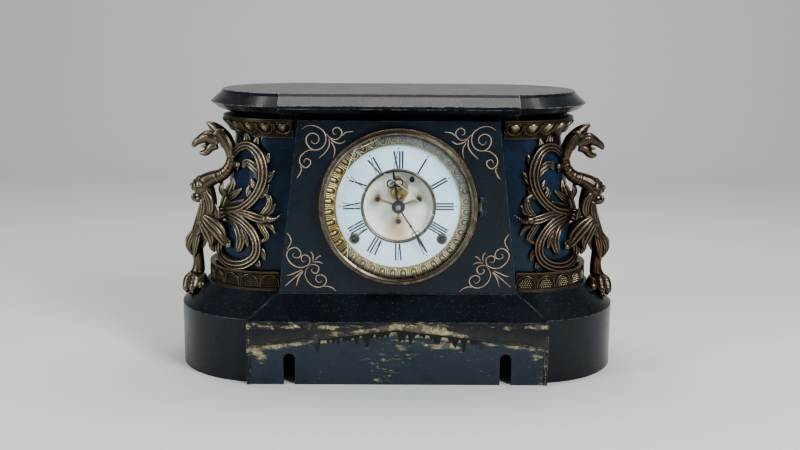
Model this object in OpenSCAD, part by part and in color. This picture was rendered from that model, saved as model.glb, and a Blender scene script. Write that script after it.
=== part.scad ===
// Mantel clock with a cast case, two griffins and an open escapement.
// Millimetres. The clock stands on z = 0, its dial faces -Y and +X is to its right.

/* [Base] */
// Width of the base, end to end
base_w = 445; // [400:5:540]
// Radius of the rounded ends of the base
base_end_r = 92; // [86:1:112]
// Height of the upright wall of the base
base_wall_h = 63; // [52:1:76]
// Height of the sloped shoulder above that wall
shoulder_h = 22.5; // [18:0.5:27]
// Width of the flat blocks at the front and back of the base
block_w = 292; // [250:2:310]
// How far those blocks stand in front of the rounded wall
block_out = 7; // [4:1:10]
// Thickness of the cast walls
wall = 5; // [3:0.5:7]
// Height of the raised pediment line at the ends of the front block
pediment_low = 38; // [30:1:44]
// Height of the raised pediment line at the middle
pediment_high = 55.5; // [48:0.5:58]
// Depth of the recess under the pediment
relief = 1.2; // [0.6:0.2:2]
// Width of the two slots in the front wall
slot_w = 11; // [6:1:14]
// Height of the two slots
slot_h = 31; // [20:1:34]
// Distance between the two slots
slot_pitch = 210; // [170:2:230]

/* [Body] */
// Height of the body between base and lid
body_h = 169; // [155:1:205]
// Width of the body at its foot
foot_w = 376; // [350:2:400]
// Radius of the body's ends at its foot
foot_r = 60; // [50:1:63]
// Width of the body at its head
head_w = 324; // [300:2:340]
// Radius of the body's ends at its head
head_r = 50; // [46:1:58]
// Width of the front panel at its foot
panel_foot_w = 232.8; // [190:0.4:240]
// Width of the front panel at its head
panel_head_w = 193; // [184:1:200]
// Distance from the middle of the clock to the face of the front panel
panel_out = 74; // [70:1:80]
// Radius of the door opening in the back
door_r = 60; // [40:1:64]

/* [Lid] */
// Thickness of the lid
lid_h = 25.5; // [22:0.5:31]
// Width of the lid at its widest line
lid_w = 378; // [350:2:440]
// Width of the plain middle section of the lid
lid_mid_w = 228; // [190:2:260]
// Depth of that middle section
lid_mid_d = 180; // [160:2:190]

/* [Dial] */
// Height of the dial centre above the body's foot
dial_up = 87; // [84:1:90]
// Outer radius of the bezel
bezel_r = 77; // [74:0.5:80]
// Height of the bezel in front of the panel
bezel_h = 13; // [11:0.5:16]
// Outer radius of the enamel chapter ring
chapter_r = 60.3; // [58.6:0.1:62]
// Radius of the open centre of the dial
well_r = 33.5; // [31:0.5:36]
// Depth of the open centre behind the panel's face
well_depth = 7.8; // [6:0.2:9]
// Length of the minute hand
minute_len = 53.7; // [44:0.1:58]
// Length of the hour hand
hour_len = 39; // [30:0.5:46]

/* [Movement] */
// Distance between the plates
plate_gap = 40; // [39:0.5:46]
// Thickness of the plates
plate_t = 2; // [1.6:0.1:2.4]
// Radius of the arbors
arbor_r = 1; // [0.8:0.05:1.1]
// Radius of the winding arbors
winding_r = 2; // [1.6:0.1:2.2]
// Distance from the dial's middle line to a winding arbor
winding_x = 42.6; // [42:0.1:43]
// Distance of the winding arbors below the dial centre
winding_down = 32.1; // [31.8:0.1:32.4]
// Radius of the pendulum bob
bob_r = 19; // [14:0.5:22]
// Distance from the suspension to the middle of the bob
pendulum_len = 122; // [112:1:126]
// Radius of the gong coil
gong_r = 44; // [38:1:46]

/* [Fits] */
// Radial clearance of an arbor or a pin in its hole
running = 0.05; // [0.02:0.01:0.1]
// Gap between cast pieces that are bolted together
seat = 0.3; // [0.2:0.05:0.5]

/* [Hidden] */
$fn = 64;
EPS = 0.01;

// Levels
z_body = base_wall_h + shoulder_h;
z_lid = z_body + body_h;
z_top = z_lid + lid_h;
dial_z = z_body + dial_up;

// Base
base_cx = base_w / 2 - base_end_r;
block_y = base_end_r + block_out;
ring_reach = 6;
ring_out_r = foot_r + ring_reach;
block_top_y = panel_out + 2;
block_top_x = panel_foot_w / 2 + 0.6;
slope_in = 0.45 * wall;
roof_z = z_body - wall;
hole_x = 62;
hole_back = 9;
hole_front = 14;

// Body: the ends narrow evenly from foot to head
foot_cx = foot_w / 2 - foot_r;
head_cx = head_w / 2 - head_r;
function up(z) = (z - z_body) / body_h;
function body_cx(z) = foot_cx + (head_cx - foot_cx) * up(z);
function body_r(z) = foot_r + (head_r - foot_r) * up(z);

// Case bolts
bolt_r = 2.5;
bolt_head_r = 5;
bolt_head_h = 4;
bolt_x = head_cx + 23;
bolt_y = 22;
bolt_up = lid_h * 0.6;

// Ornament bands
capital_h = 19;
capital_x = panel_head_w / 2 + 6;
ring_h = 19;
ring_x = panel_foot_w / 2 + 0.6;

// Layers of the dial and the movement, as distances behind the panel's face (in front is negative)
panel_y = -panel_out;
panel_t = 5;
pan_t = 1.2;
chapter_t = 1.6;
well_floor = well_depth - 1;
front_plate_y = panel_y + 24;
back_plate_y = front_plate_y + plate_gap + plate_t;
post_r = 3.5;
neck_r = 2.4;
plate_w = 140;
plate_top = 42;
plate_low = 62;
pillar_x = 63;
pillar_top = 35;
pillar_low = 55;

// Wheel train: tooth counts, modules and places. Places are [right, up] from the dial centre.
great_n = 64;
second_n = 72;
centre_n = 44;
third_n = 40;
escape_n = 30;
lock_n = 54;
warn_n = 48;
count_n = 60;
cannon_n = 12;
minute_n = 36;
minute_leaves = 10;
hour_n = 40;
leaves = 8;
great_m = 0.8;
second_m = 0.65;
centre_m = 0.5;
third_m = 0.45;
lock_m = 0.5;
warn_m = 0.45;
count_m = 0.5;
cannon_m = 0.5;
hour_m = 0.48;
function mesh(m, a, b) = m * (a + b) / 2;
function polar(r, a) = [r * cos(a), r * sin(a)];
function bearing(p, q) = atan2(q[1] - p[1], q[0] - p[0]);
// The point at distance ra from a and rb from b, to the left of the line from a to b
function meet(a, ra, b, rb) =
    let (d = norm(b - a), u = (b - a) / d)
    let (s = (d * d + ra * ra - rb * rb) / (2 * d), h = sqrt(ra * ra - s * s))
    a + s * u + h * [-u[1], u[0]];

centre_p = [0, 0];
time_p = [winding_x, -winding_down];
strike_p = [-winding_x, -winding_down];
great_d = mesh(great_m, great_n, leaves);
second_d = mesh(second_m, second_n, leaves);
second_p = meet(time_p, great_d, centre_p, second_d);
pin_p = [-second_p[0], second_p[1]];
escape_p = [0, 13.2];
pallet_p = [0, 27.4];
third_p = meet(escape_p, mesh(third_m, third_n, leaves), centre_p, mesh(centre_m, centre_n, leaves));
lock_p = pin_p + polar(second_d, 120);
warn_p = lock_p + polar(mesh(lock_m, lock_n, leaves), 60);
fly_p = warn_p + polar(mesh(warn_m, warn_n, leaves), 80);
count_p = pin_p + polar(mesh(count_m, count_n, leaves), -80);
minute_p = polar(mesh(cannon_m, cannon_n, minute_n), -15);
lever_p = [-34, -14];
hammer_p = [-50, 2];
regulator_p = [13.1, 25.4];
cock_feet = [[20, 6.9], [-20, 6.9], [0, -14.8]];

// Small parts
cock_post_r = 2.6;
cock_screw_r = 1.2;
cannon_r = 2.1;
hour_pipe_r = 3;
minute_stud_r = arbor_r;
arbor_holes = [
    centre_p, second_p, pin_p, third_p, escape_p, pallet_p, lock_p, warn_p, fly_p, hammer_p
];

// Escapement
escape_r = 9.6;
pallet_gap = 0.9;
pallet_pin_r = 0.5;

// Wheel layers, as y
great_y = front_plate_y + 6;
wheel_t = 1.4;
great_t = 2.4;
spring_w = 16;
spring_back = great_y + 3 + spring_w;
second_y = back_plate_y - plate_t - 11;
pin_y = back_plate_y - plate_t - 6;
lock_y = back_plate_y - plate_t - 2.4;
centre_y = front_plate_y + 15;
third_y = front_plate_y + 21;
warn_y = front_plate_y + 18;
motion_y = front_plate_y - plate_t - 2.4;
hour_y = motion_y - 4;
count_y = motion_y - 0.2;
lever_y = motion_y - wheel_t - 0.5;
escape_y = panel_y + well_floor - 3;
pallet_y = escape_y - 2;
cock_y = panel_y - 0.4;
cock_t = 1.5;
hour_hand_y = panel_y - 6.4;
minute_hand_y = panel_y - 9;

// Pendulum and strike, behind the back plate
swing_y = back_plate_y + 5;
swing_z = dial_z + pallet_p[1];
crutch_y = swing_y - 2.8;
rod_r = 1.2;
gong_y = back_plate_y + 22;
gong_z = dial_z - 22.5;
gong_wire = 2.2;
gong_pitch = 8;
gong_hub_r = 7;
post_y = gong_y + 10;

// Hinges
hinge_x = bezel_r + 2.2;
hinge_y = panel_y - 2.3;
hinge_r = 2;
hinge_leaf = 3.2;
door_y = foot_r;
door_t = 2.5;
door_rim = 8;
door_hinge_x = door_r + door_rim + 3;
door_hinge_y = door_y + hinge_r + 0.3;
door_pin_r = 1.2;

/* ---- Shared shapes ---- */

// A ring or slab with round ends: its profile is drawn as (distance from the middle line, height)
module racetrack(cx) {
    for (side = [0, 1])
        mirror([side, 0, 0]) translate([cx, 0, 0]) rotate([0, 0, -90]) rotate_extrude(angle = 180) children();
    for (side = [0, 1])
        mirror([0, side, 0]) translate([-cx, 0, 0]) rotate([90, 0, 90]) linear_extrude(2 * cx) children();
}

// A profile drawn as (y, z) and run along x, centred
module along_x(length) {
    translate([-length / 2, 0, 0]) rotate([90, 0, 90]) linear_extrude(length) children();
}

// A profile drawn as (x, z) and run along y, from y_back towards the front
module towards_front(y_back, length) {
    translate([0, y_back, 0]) rotate([90, 0, 0]) linear_extrude(length) children();
}

// Puts something drawn along z at an arbor: its z = 0 lies at y_back and it points to the front
module at_arbor(place, y_back) {
    translate([place[0], y_back, dial_z + place[1]]) rotate([90, 0, 0]) children();
}

// An outline of the tapered body between two heights, grown by a margin
module body_form(grow, z0, z1) {
    hull()
        for (z = [z0, z1 - EPS], side = [-1, 1])
            translate([side * body_cx(z), 0, z]) cylinder(r = body_r(z) + grow, h = EPS);
}

// A flat bar between two points of a plane, with round ends
module bar(p, q, w) {
    translate(p) rotate(bearing(p, q)) translate([0, -w / 2]) square([norm(q - p), w]);
    translate(p) circle(d = w, $fn = 24);
    translate(q) circle(d = w, $fn = 24);
}

// A toothed disc: one tooth points along `phase`, and each tooth is a trapezoid across the pitch circle
module gear2d(n, m, phase = 0, root_w = 0.46, tip_w = 0.2) {
    pitch_r = m * n / 2;
    tip_r = pitch_r + 0.7 * m;
    root_r = pitch_r - 1.05 * m;
    step = 360 / n;
    tooth = [[root_r, -root_w / 2], [tip_r, -tip_w / 2], [tip_r, tip_w / 2], [root_r, root_w / 2]];
    polygon([for (i = [0 : n - 1], corner = tooth) polar(corner[0], phase + step * (i + corner[1]))]);
}

module pinion2d(n, m, phase) {
    gear2d(n, m, phase, 0.36, 0.2);
}

// A wheel of n teeth with four round windows and a bore
module wheel(n, m, t, phase, bore) {
    rim = m * n / 2 - 1.05 * m;
    window = (rim - 6) * 0.36;
    linear_extrude(t)
        difference() {
            gear2d(n, m, phase);
            if (bore > 0)
                circle(r = bore, $fn = 32);
            if (window > 1.5)
                for (a = [45 : 90 : 315])
                    translate(polar(4 + (rim - 5) / 2, a)) circle(r = window, $fn = 32);
        }
}

// An arbor from y_back to y_front
module arbor(place, y_back, y_front, r = arbor_r) {
    at_arbor(place, y_back) cylinder(r = r, h = y_back - y_front, $fn = 32);
}

// A pinion that fills the layer of the wheel it meshes with and stands proud of it on both sides
module pinion(place, y_back, m, phase, t = wheel_t) {
    at_arbor(place, y_back + 0.6) linear_extrude(t + 1.2) pinion2d(leaves, m, phase);
}

// Phase that puts a tooth space towards another arbor
function space_to(p, q, n) = bearing(p, q) + 180 / n;

/* ---- Case ---- */

module base_outer(grow) {
    racetrack(base_cx)
        polygon([
            [0, 0], [base_end_r + grow, 0], [base_end_r + grow, base_wall_h + grow / 2],
            [ring_out_r + grow, z_body + grow / 2], [0, z_body + grow / 2]
        ]);
}

// A block whose top slopes in on all four sides
module block(half_x, half_y, top_x, top_y, z0, z1, z2) {
    intersection() {
        along_x(2 * half_x + 2)
            polygon([[-half_y, z0], [half_y, z0], [half_y, z1], [top_y, z2], [-top_y, z2], [-half_y, z1]]);
        towards_front(half_y + 1, 2 * half_y + 2)
            polygon([[-half_x, z0], [half_x, z0], [half_x, z1], [top_x, z2], [-top_x, z2], [-half_x, z1]]);
    }
}

module base_casting() {
    half = block_w / 2;
    color("#14181c")
    difference() {
        union() {
            base_outer(0);
            block(half, block_y, block_top_x, block_top_y, 0, base_wall_h, z_body);
        }
        racetrack(base_cx)
            polygon([
                [0, -1], [base_end_r - wall, -1], [base_end_r - wall, base_wall_h - slope_in],
                [ring_out_r - slope_in, roof_z], [0, roof_z]
            ]);
        block(half - wall, block_y - wall, block_top_x - slope_in, block_top_y - slope_in, -1,
            base_wall_h - slope_in, roof_z);
        translate([-hole_x, -hole_front, roof_z - 1]) cube([2 * hole_x, hole_front + hole_back, wall + 2]);
        towards_front(relief - block_y, relief + 1)
            polygon([
                [-half + 3.5, -1], [-half + 3.5, pediment_low], [0, pediment_high],
                [half - 3.5, pediment_low], [half - 3.5, -1]
            ]);
        for (side = [-1, 1]) {
            towards_front(wall + 1 - block_y, wall + 3)
                translate([side * slot_pitch / 2, 0]) union() {
                    translate([-slot_w / 2, -1]) square([slot_w, slot_h - slot_w / 2 + 1]);
                    translate([0, slot_h - slot_w / 2]) circle(d = slot_w);
                }
            for (end = [-1, 1])
                translate([side * bolt_x, end * bolt_y, roof_z - 1])
                    cylinder(r = bolt_r + 0.25, h = wall + 2);
        }
    }
}

module door_knuckle(z0, length) {
    translate([door_hinge_x, door_hinge_y, dial_z + z0]) cylinder(r = hinge_r, h = length, $fn = 32);
}

module body_casting() {
    collar_r = door_r + door_rim;
    color("#121a26")
    difference() {
        union() {
            body_form(0, z_body, z_lid);
            at_arbor(centre_p, door_y) cylinder(r = collar_r, h = 14);
            for (z = [-11, 4.4]) {
                door_knuckle(z, 6.6);
                translate([collar_r - 3, door_y - 6, dial_z + z])
                    cube([door_hinge_x + hinge_r - collar_r + 3, 6, 6.6]);
                translate([door_hinge_x - 1.5, door_y - 1, dial_z + z]) cube([3, 3.3, 6.6]);
            }
        }
        difference() {
            body_form(1 - wall, z_body - 1, z_lid + 1);
            for (z = [-11, 4.4])
                translate([collar_r - 3, 40, dial_z + z]) cube([10, 20, 6.6]);
        }
        towards_front(0, foot_r + 20)
            polygon([
                [12 - panel_foot_w / 2, z_body + 8], [panel_foot_w / 2 - 12, z_body + 8],
                [panel_head_w / 2 - 8, z_lid - 8], [8 - panel_head_w / 2, z_lid - 8]
            ]);
        at_arbor(centre_p, door_y + 1) cylinder(r = door_r, h = 40);
        translate([door_hinge_x, door_hinge_y, dial_z - 12])
            cylinder(r = door_pin_r + running, h = 24, $fn = 32);
    }
}

module front_panel() {
    foot = panel_foot_w / 2;
    head = panel_head_w / 2;
    color("#10202e")
    difference() {
        towards_front(0, panel_out) polygon([[-foot, z_body], [foot, z_body], [head, z_lid], [-head, z_lid]]);
        towards_front(1, panel_out + 1 - panel_t)
            polygon([
                [panel_t - foot, z_body + panel_t], [foot - panel_t, z_body + panel_t],
                [head - panel_t, z_lid - panel_t], [panel_t - head, z_lid - panel_t]
            ]);
        // The returns end just in front of the sloping face of the body
        along_x(2 * foot + 2)
            polygon([
                [-foot_r - seat, z_body - 1], [20, z_body - 1], [20, z_lid + 1], [-head_r - seat, z_lid + 1]
            ]);
        at_arbor(centre_p, 1 - panel_out + panel_t) cylinder(r = chapter_r + 5, h = panel_t + 2);
    }
}

module top_slab() {
    end_cx = lid_w / 2 - 87;
    mid = lid_mid_d / 2;
    neck = head_r + head_cx - end_cx + 2;
    color("#1b2128")
    difference() {
        union() {
            racetrack(end_cx)
                polygon([
                    [0, z_lid], [neck, z_lid], [neck + 4, z_lid + 3], [80, z_lid + lid_h * 0.3],
                    [87, z_lid + lid_h * 0.53], [77, z_top - 3], [75, z_top], [0, z_top]
                ]);
            for (side = [0, 1])
                mirror([0, side, 0])
                    along_x(lid_mid_w)
                        polygon([
                            [0, z_lid], [-neck, z_lid], [-neck - 6, z_lid + 3],
                            [6 - mid, z_lid + lid_h * 0.32], [-mid, z_lid + lid_h * 0.47],
                            [-mid, z_lid + lid_h * 0.59], [11 - mid, z_top - 2.5],
                            [14 - mid, z_top], [0, z_top]
                        ]);
        }
        translate([-lid_mid_w / 2 + 4, 8 - head_r, z_lid - 1])
            cube([lid_mid_w - 8, 2 * head_r - 16, lid_h - 7]);
        for (side = [-1, 1], end = [-1, 1])
            translate([side * bolt_x, end * bolt_y, z_lid - 1]) cylinder(r = bolt_r + 0.1, h = bolt_up + 2);
    }
}

// Bronze band under the lid, kept to one side of the panel
module capital(side) {
    low = z_lid - capital_h;
    color("#8f8066")
    difference() {
        mirror([side < 0 ? 1 : 0, 0, 0])
            intersection() {
                racetrack(head_cx)
                    polygon([
                        [head_r - 12, low], [head_r + 4, low], [head_r + 4, low + 3.5],
                        [head_r + 7.5, low + 5], [head_r + 9, low + 8], [head_r + 14, low + 13.5],
                        [head_r + 15, low + 16],
                        [head_r + 15, z_lid - 0.2], [head_r - 12, z_lid - 0.2]
                    ]);
                translate([capital_x, -200, low - 1]) cube([200, 400, capital_h + 2]);
            }
        body_form(seat, low - 2, z_lid + 1);
    }
}

// Bronze band on the shoulder of the base, kept to one side of the panel
module foot_ring(side) {
    top = z_body + ring_h;
    color("#8f8066")
    difference() {
        mirror([side < 0 ? 1 : 0, 0, 0])
            intersection() {
                racetrack(foot_cx)
                    polygon([
                        [foot_r - 12, z_body + 0.2], [ring_out_r, z_body + 0.2], [ring_out_r, z_body + 2],
                        [ring_out_r - 1.5, z_body + 3.5], [ring_out_r - 1.5, top - 3.5],
                        [ring_out_r, top - 2], [ring_out_r, top], [foot_r - 12, top]
                    ]);
                translate([ring_x, -200, z_body - 1]) cube([200, 400, ring_h + 2]);
            }
        body_form(seat, z_body - 1, top + 2);
    }
}

/* ---- Griffins ---- */

// A run of round links through points given as [x, y, z, radius]
module strand(points) {
    for (i = [0 : len(points) - 2])
        hull()
            for (p = [points[i], points[i + 1]])
                translate([p[0], p[1], p[2]]) sphere(r = p[3], $fn = 8);
}

// The wing lies on the column: each point is given as [x, height, radius] and finds its own depth
griffin_x = foot_w / 2;
wing_stand = 3;
wing_back = 20;
function column_y(x, z) =
    let (r = body_r(z), dx = max(0, x - body_cx(z)))
    -max(wing_back, sqrt(max(0, r * r - dx * dx)));
function on_column(points) =
    [for (p = points) [p[0], column_y(p[0] + griffin_x, p[1]) - wing_stand, p[1], p[2]]];

function lift(z) = z_body + z;
// x is measured from the outer edge of the column's foot
upper_scroll = [
    [3, lift(64.5), 4.5], [-7.5, lift(69), 4], [-20, lift(73.5), 3.5], [-33.5, lift(79), 3.2],
    [-45, lift(88.5), 3.2], [-53, lift(100.5), 3.4], [-56.5, lift(113.5), 3.6], [-55, lift(126), 3.8],
    [-50, lift(137), 3.6], [-41, lift(141), 3], [-31.5, lift(138), 2.8],
    [-23.5, lift(129.5), 2.6], [-21.5, lift(121), 2.4]
];
upper_leaves = [
    [[-53, lift(126), 3], [-48.5, lift(139.5), 2.6], [-49, lift(149.5), 0.8]],
    [[-55.5, lift(122.5), 2.6], [-60.5, lift(130.5), 2], [-62, lift(134.5), 0.8]],
    [[-56.5, lift(108.5), 2.6], [-62.5, lift(114.5), 1.6], [-66.5, lift(117.5), 0.7]],
    [[-44.5, lift(140.5), 2.6], [-38.5, lift(148.5), 2.6], [-38, lift(156.5), 0.8]],
    [[-54.5, lift(112.5), 2.6], [-47, lift(121), 3], [-38, lift(125), 2.8], [-32, lift(117.5), 1.2]],
    [[-53.5, lift(100.5), 2.4], [-47, lift(102), 2], [-45, lift(107), 1]]
];
upright_leaf = [[-11.5, lift(73), 2.4], [-16.5, lift(85), 3], [-23, lift(98.5), 3.4], [-24, lift(106), 1.2]];
floret = [
    [[-26.5, lift(76), 3], [-40, lift(75), 3.4], [-50.5, lift(72), 4.6], [-59, lift(70.5), 4.2]],
    [[-57, lift(71.5), 3.6], [-64, lift(69.5), 3.6], [-70, lift(72.5), 2.4], [-74, lift(75.5), 0.9]],
    [[-55, lift(75), 2.6], [-62, lift(86), 2], [-59.5, lift(94), 1.8], [-54.5, lift(96.5), 1.4]],
    [[-52, lift(68), 2.6], [-56, lift(58.5), 2], [-59, lift(53), 2.2], [-53, lift(47.5), 1]]
];
lower_scroll = [
    [-5, lift(70), 3.4], [-19, lift(71), 3], [-32.5, lift(68.5), 3], [-42.5, lift(60.5), 3],
    [-48.5, lift(49.5), 3.2], [-47.5, lift(37.5), 3.6], [-41, lift(28), 4], [-30, lift(23.5), 4.2],
    [-17.5, lift(23), 4.4], [-7.5, lift(26.5), 5], [-5, lift(36), 4.6],
    [-10.5, lift(43), 3.2], [-17.5, lift(47), 2]
];
lower_leaves = [
    [[-16.5, lift(67.5), 2.8], [-29, lift(63), 3], [-33, lift(52), 3.4], [-28.5, lift(38.5), 1]],
    [[-27, lift(64.5), 2.4], [-37, lift(52.5), 2.4], [-39.5, lift(42), 0.8]],
    [[-7.5, lift(52.5), 3.4], [1, lift(44), 3.4], [3, lift(38), 2.4]]
];
// The figure stands beside the column: points are [x, y, z, radius]
neck = [
    [-19.5, -28, lift(140), 3.2], [-21, -27, lift(127.5), 4], [-18.5, -26, lift(117.5), 4.4],
    [-9, -24, lift(108), 4.6], [3.5, -21, lift(104.5), 5.4], [12, -19, lift(99.5), 7]
];
crest = [
    [3, -24, lift(161.5), 1.2], [-5, -24, lift(156.5), 4.4],
    [-12, -25, lift(149.5), 5], [-17.5, -27, lift(140.5), 3.6]
];
head = [
    [-8, -25, lift(150.5), 6], [3, -24, lift(146.5), 6.4],
    [12.5, -23, lift(143), 3.2], [17.5, -23, lift(139), 1]
];
jaw = [[1, -24, lift(141.5), 4], [3, -24, lift(133), 3], [9.5, -23, lift(131), 1.8]];
boss = [[10, -18, lift(97), 8], [18.5, -17, lift(96), 6], [22.5, -17, lift(96), 3]];
spur = [[11.5, -17, lift(86), 3.6], [17.5, -17, lift(82.5), 2.4], [20.5, -17, lift(87), 1.2]];
chest = [[6, -19, lift(94), 7], [4, -18, lift(82), 7], [7.5, -16, lift(69.5), 8], [13, -13, lift(54.5), 7]];
thigh = [
    [13, -13, lift(54.5), 7], [19, -10, lift(42), 6], [19, -8, lift(31), 6.4], [21.5, -7, lift(26), 4.4]
];
tuft = [[20, -9, lift(45.5), 4], [24.5, -8, lift(35.5), 3.4], [23.5, -7, lift(24), 1.4]];
shin = [[18.5, -7, lift(31), 5], [17.5, -6, lift(14.5), 4.6], [20.5, -6, lift(4), 6.4]];
paw_toes = [
    [[18, -8, lift(1), 7], [20, -16, lift(-4), 4.4], [20, -21, lift(-9), 3.4]],
    [[21, -5, lift(0), 7], [26, -11, lift(-8), 4.6], [28, -14, lift(-13.5), 3.6]],
    [[22, -1, lift(-1), 6], [28, 1, lift(-10), 4.6], [31, 2, lift(-16), 3.4]]
];
cast_root = [[-19.5, -26, lift(51), 3], [-6.5, -20, lift(58), 4], [6.5, -16, lift(63.5), 5]];
trunk = [chest, thigh, tuft, shin, cast_root];

module griffin(side) {
    color("#8f8066")
    difference() {
        mirror([side < 0 ? 1 : 0, 0, 0]) translate([griffin_x, 0, 0]) {
            for (run = concat([upper_scroll, upright_leaf, lower_scroll], upper_leaves, floret, lower_leaves))
                strand(on_column(run));
            for (run = concat([neck, crest, head, jaw, boss, spur], trunk, paw_toes))
                strand(run);
        }
        body_form(seat, z_body - 20, z_lid + 1);
        base_outer(seat);
        racetrack(foot_cx)
            polygon([[0, z_body], [ring_out_r + seat, z_body], [ring_out_r + seat, z_body + ring_h + seat],
                [0, z_body + ring_h + seat]]);
        racetrack(head_cx)
            polygon([[0, z_lid - capital_h - seat], [head_r + 15 + seat, z_lid - capital_h - seat],
                [head_r + 15 + seat, z_lid], [0, z_lid]]);
    }
}

module case_bolts() {
    color("#2a2a2a")
    for (side = [-1, 1], end = [-1, 1])
        translate([side * bolt_x, end * bolt_y, 0]) {
            translate([0, 0, roof_z - bolt_head_h]) cylinder(r = bolt_head_r, h = bolt_head_h, $fn = 6);
            translate([0, 0, roof_z - 1]) cylinder(r = bolt_r, h = z_lid + bolt_up - roof_z + 1);
        }
}

/* ---- Bezel and dial ---- */

bore_r = bezel_r - 5.5;
lip_r = bezel_r - 7;
rim_r = bore_r - 0.2;
glass_t = 1.8;
glass_rise = 8;
glass_h = bezel_h - 3.5;
sash_in = chapter_r - 0.1;
function dome(r) = glass_h + glass_rise * (1 - pow(r / rim_r, 2));

// A profile drawn as (radius, height in front of the panel's face) and turned about the dial's axis
module turned() {
    at_arbor(centre_p, panel_y) rotate_extrude($fn = 128) children();
}

module bezel() {
    color("#9a8355")
    difference() {
        union() {
            turned()
                polygon([
                    [bore_r, 0.5], [bezel_r, 0.5], [bezel_r, bezel_h - 5], [bezel_r - 1, bezel_h - 3.4],
                    [bezel_r - 3.6, bezel_h - 3], [bezel_r - 4.2, bezel_h - 0.8], [bezel_r - 5.2, bezel_h],
                    [bezel_r - 6.4, bezel_h - 0.6], [lip_r, bezel_h - 1.6], [lip_r, bezel_h - 3],
                    [bore_r, bezel_h - 3]
                ]);
            translate([hinge_x, hinge_y, dial_z - 3.7]) cylinder(r = hinge_r, h = 7.4, $fn = 32);
            translate([bezel_r - 3, hinge_y - 1.6, dial_z - 3.7]) cube([hinge_x - bezel_r + 3, 2.4, 7.4]);
        }
        translate([hinge_x, hinge_y, dial_z - 5]) cylinder(r = 1 + running, h = 10, $fn = 32);
    }
}

module sash_ring() {
    color("#d9c27a")
    turned()
        polygon([
            [sash_in, 3.1], [sash_in + 1, 3.1], [sash_in + 5, 4.2], [rim_r, bezel_h - 6.6],
            [rim_r, bezel_h - 5.6], [sash_in + 5, 5.2], [sash_in, 3.9]
        ]);
}

module glass() {
    rings = [for (i = [0 : 6]) rim_r * i / 6];
    color("#dfeaf0", 0.3)
    turned()
        polygon(concat(
            [for (r = rings) [r, dome(r) - glass_t]],
            [for (i = [6 : -1 : 0]) [rings[i], dome(rings[i])]]
        ));
}

module bezel_hinge() {
    color("#9a8355") {
        translate([hinge_x, hinge_y, dial_z - 9.6]) cylinder(r = 1, h = 19.2, $fn = 32);
        translate([hinge_x + hinge_r + 0.4, panel_y - 1, dial_z - 9]) cube([hinge_leaf, 1, 18]);
        for (z = [-9, 3.9])
            translate([hinge_x, 0, dial_z + z]) {
                translate([0, hinge_y, 0]) cylinder(r = hinge_r, h = 5.1, $fn = 32);
                translate([0, hinge_y, 0]) cube([hinge_r + 0.5, panel_y - hinge_y, 5.1]);
            }
    }
}

module back_door() {
    barrel = 8.4;
    color("#1b1b1b")
    difference() {
        union() {
            at_arbor(centre_p, door_y + seat + door_t) cylinder(r = door_r + door_rim - 2, h = door_t);
            translate([door_hinge_x, door_hinge_y, dial_z - barrel / 2])
                cylinder(r = hinge_r, h = barrel, $fn = 32);
            translate([door_r, door_y + seat + 0.5, dial_z - barrel / 2])
                cube([door_hinge_x - door_r, door_t - 0.5, barrel]);
            translate([door_hinge_x, door_hinge_y, dial_z - 11]) cylinder(r = door_pin_r, h = 22, $fn = 32);
        }
        at_arbor([8 - door_r, 0], door_y + 10) cylinder(r = 1.8, h = 20, $fn = 32);
    }
}

module door_knob() {
    out = door_y + seat + door_t;
    color("#9a8355")
    at_arbor([8 - door_r, 0], out + 9)
        rotate_extrude($fn = 32)
            polygon([
                [0, 0], [3, 0.4], [4.6, 2], [5, 4], [4.2, 6], [2.6, 7.2], [2.6, 9], [1.8, 9],
                [1.8, 9 + door_t], [0, 9 + door_t]
            ]);
}

module dial_pan() {
    color("#e6ddc4")
    difference() {
        turned()
            polygon([
                [0, -well_depth], [well_r + 1, -well_depth], [well_r + 1, 0], [chapter_r + 9, 0],
                [chapter_r + 9, pan_t], [well_r, pan_t], [well_r, -well_floor], [0, -well_floor]
            ]);
        for (p = [time_p, strike_p])
            at_arbor(p, 0) cylinder(r = 4.8, h = panel_out + 5);
        at_arbor(centre_p, 0) cylinder(r = 4, h = panel_out + 5);
        for (p = [escape_p, pallet_p])
            at_arbor(p, 0) cylinder(r = arbor_r + 0.6, h = panel_out + 5);
        at_arbor(regulator_p, 0) cylinder(r = winding_r + 0.4, h = panel_out + 5);
        for (p = cock_feet)
            at_arbor(p, 0) cylinder(r = cock_post_r + 0.4, h = panel_out + 5);
    }
}

module chapter_ring() {
    color("#cfe9f2")
    at_arbor(centre_p, panel_y - pan_t)
        linear_extrude(chapter_t)
            difference() {
                circle(r = chapter_r, $fn = 128);
                circle(r = well_r + 3.1, $fn = 128);
                for (p = [time_p, strike_p])
                    translate(p) circle(r = 4.6);
            }
}

module centre_ring() {
    color("#c9a95e")
    turned()
        polygon([
            [well_r, pan_t], [well_r + 2.9, pan_t], [well_r + 2.9, pan_t + 1.8], [well_r + 1.6, pan_t + 2.8],
            [well_r + 0.4, pan_t + 2.2], [well_r, pan_t + 1]
        ]);
}

module winding_grommets() {
    color("#c9a95e")
    for (p = [time_p, strike_p])
        at_arbor(p, panel_y - pan_t)
            rotate_extrude()
                polygon([
                    [3.6, 0], [4.5, 0], [4.5, chapter_t], [5.4, chapter_t], [5.1, chapter_t + 0.5],
                    [3.6, chapter_t + 0.5]
                ]);
}

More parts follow.
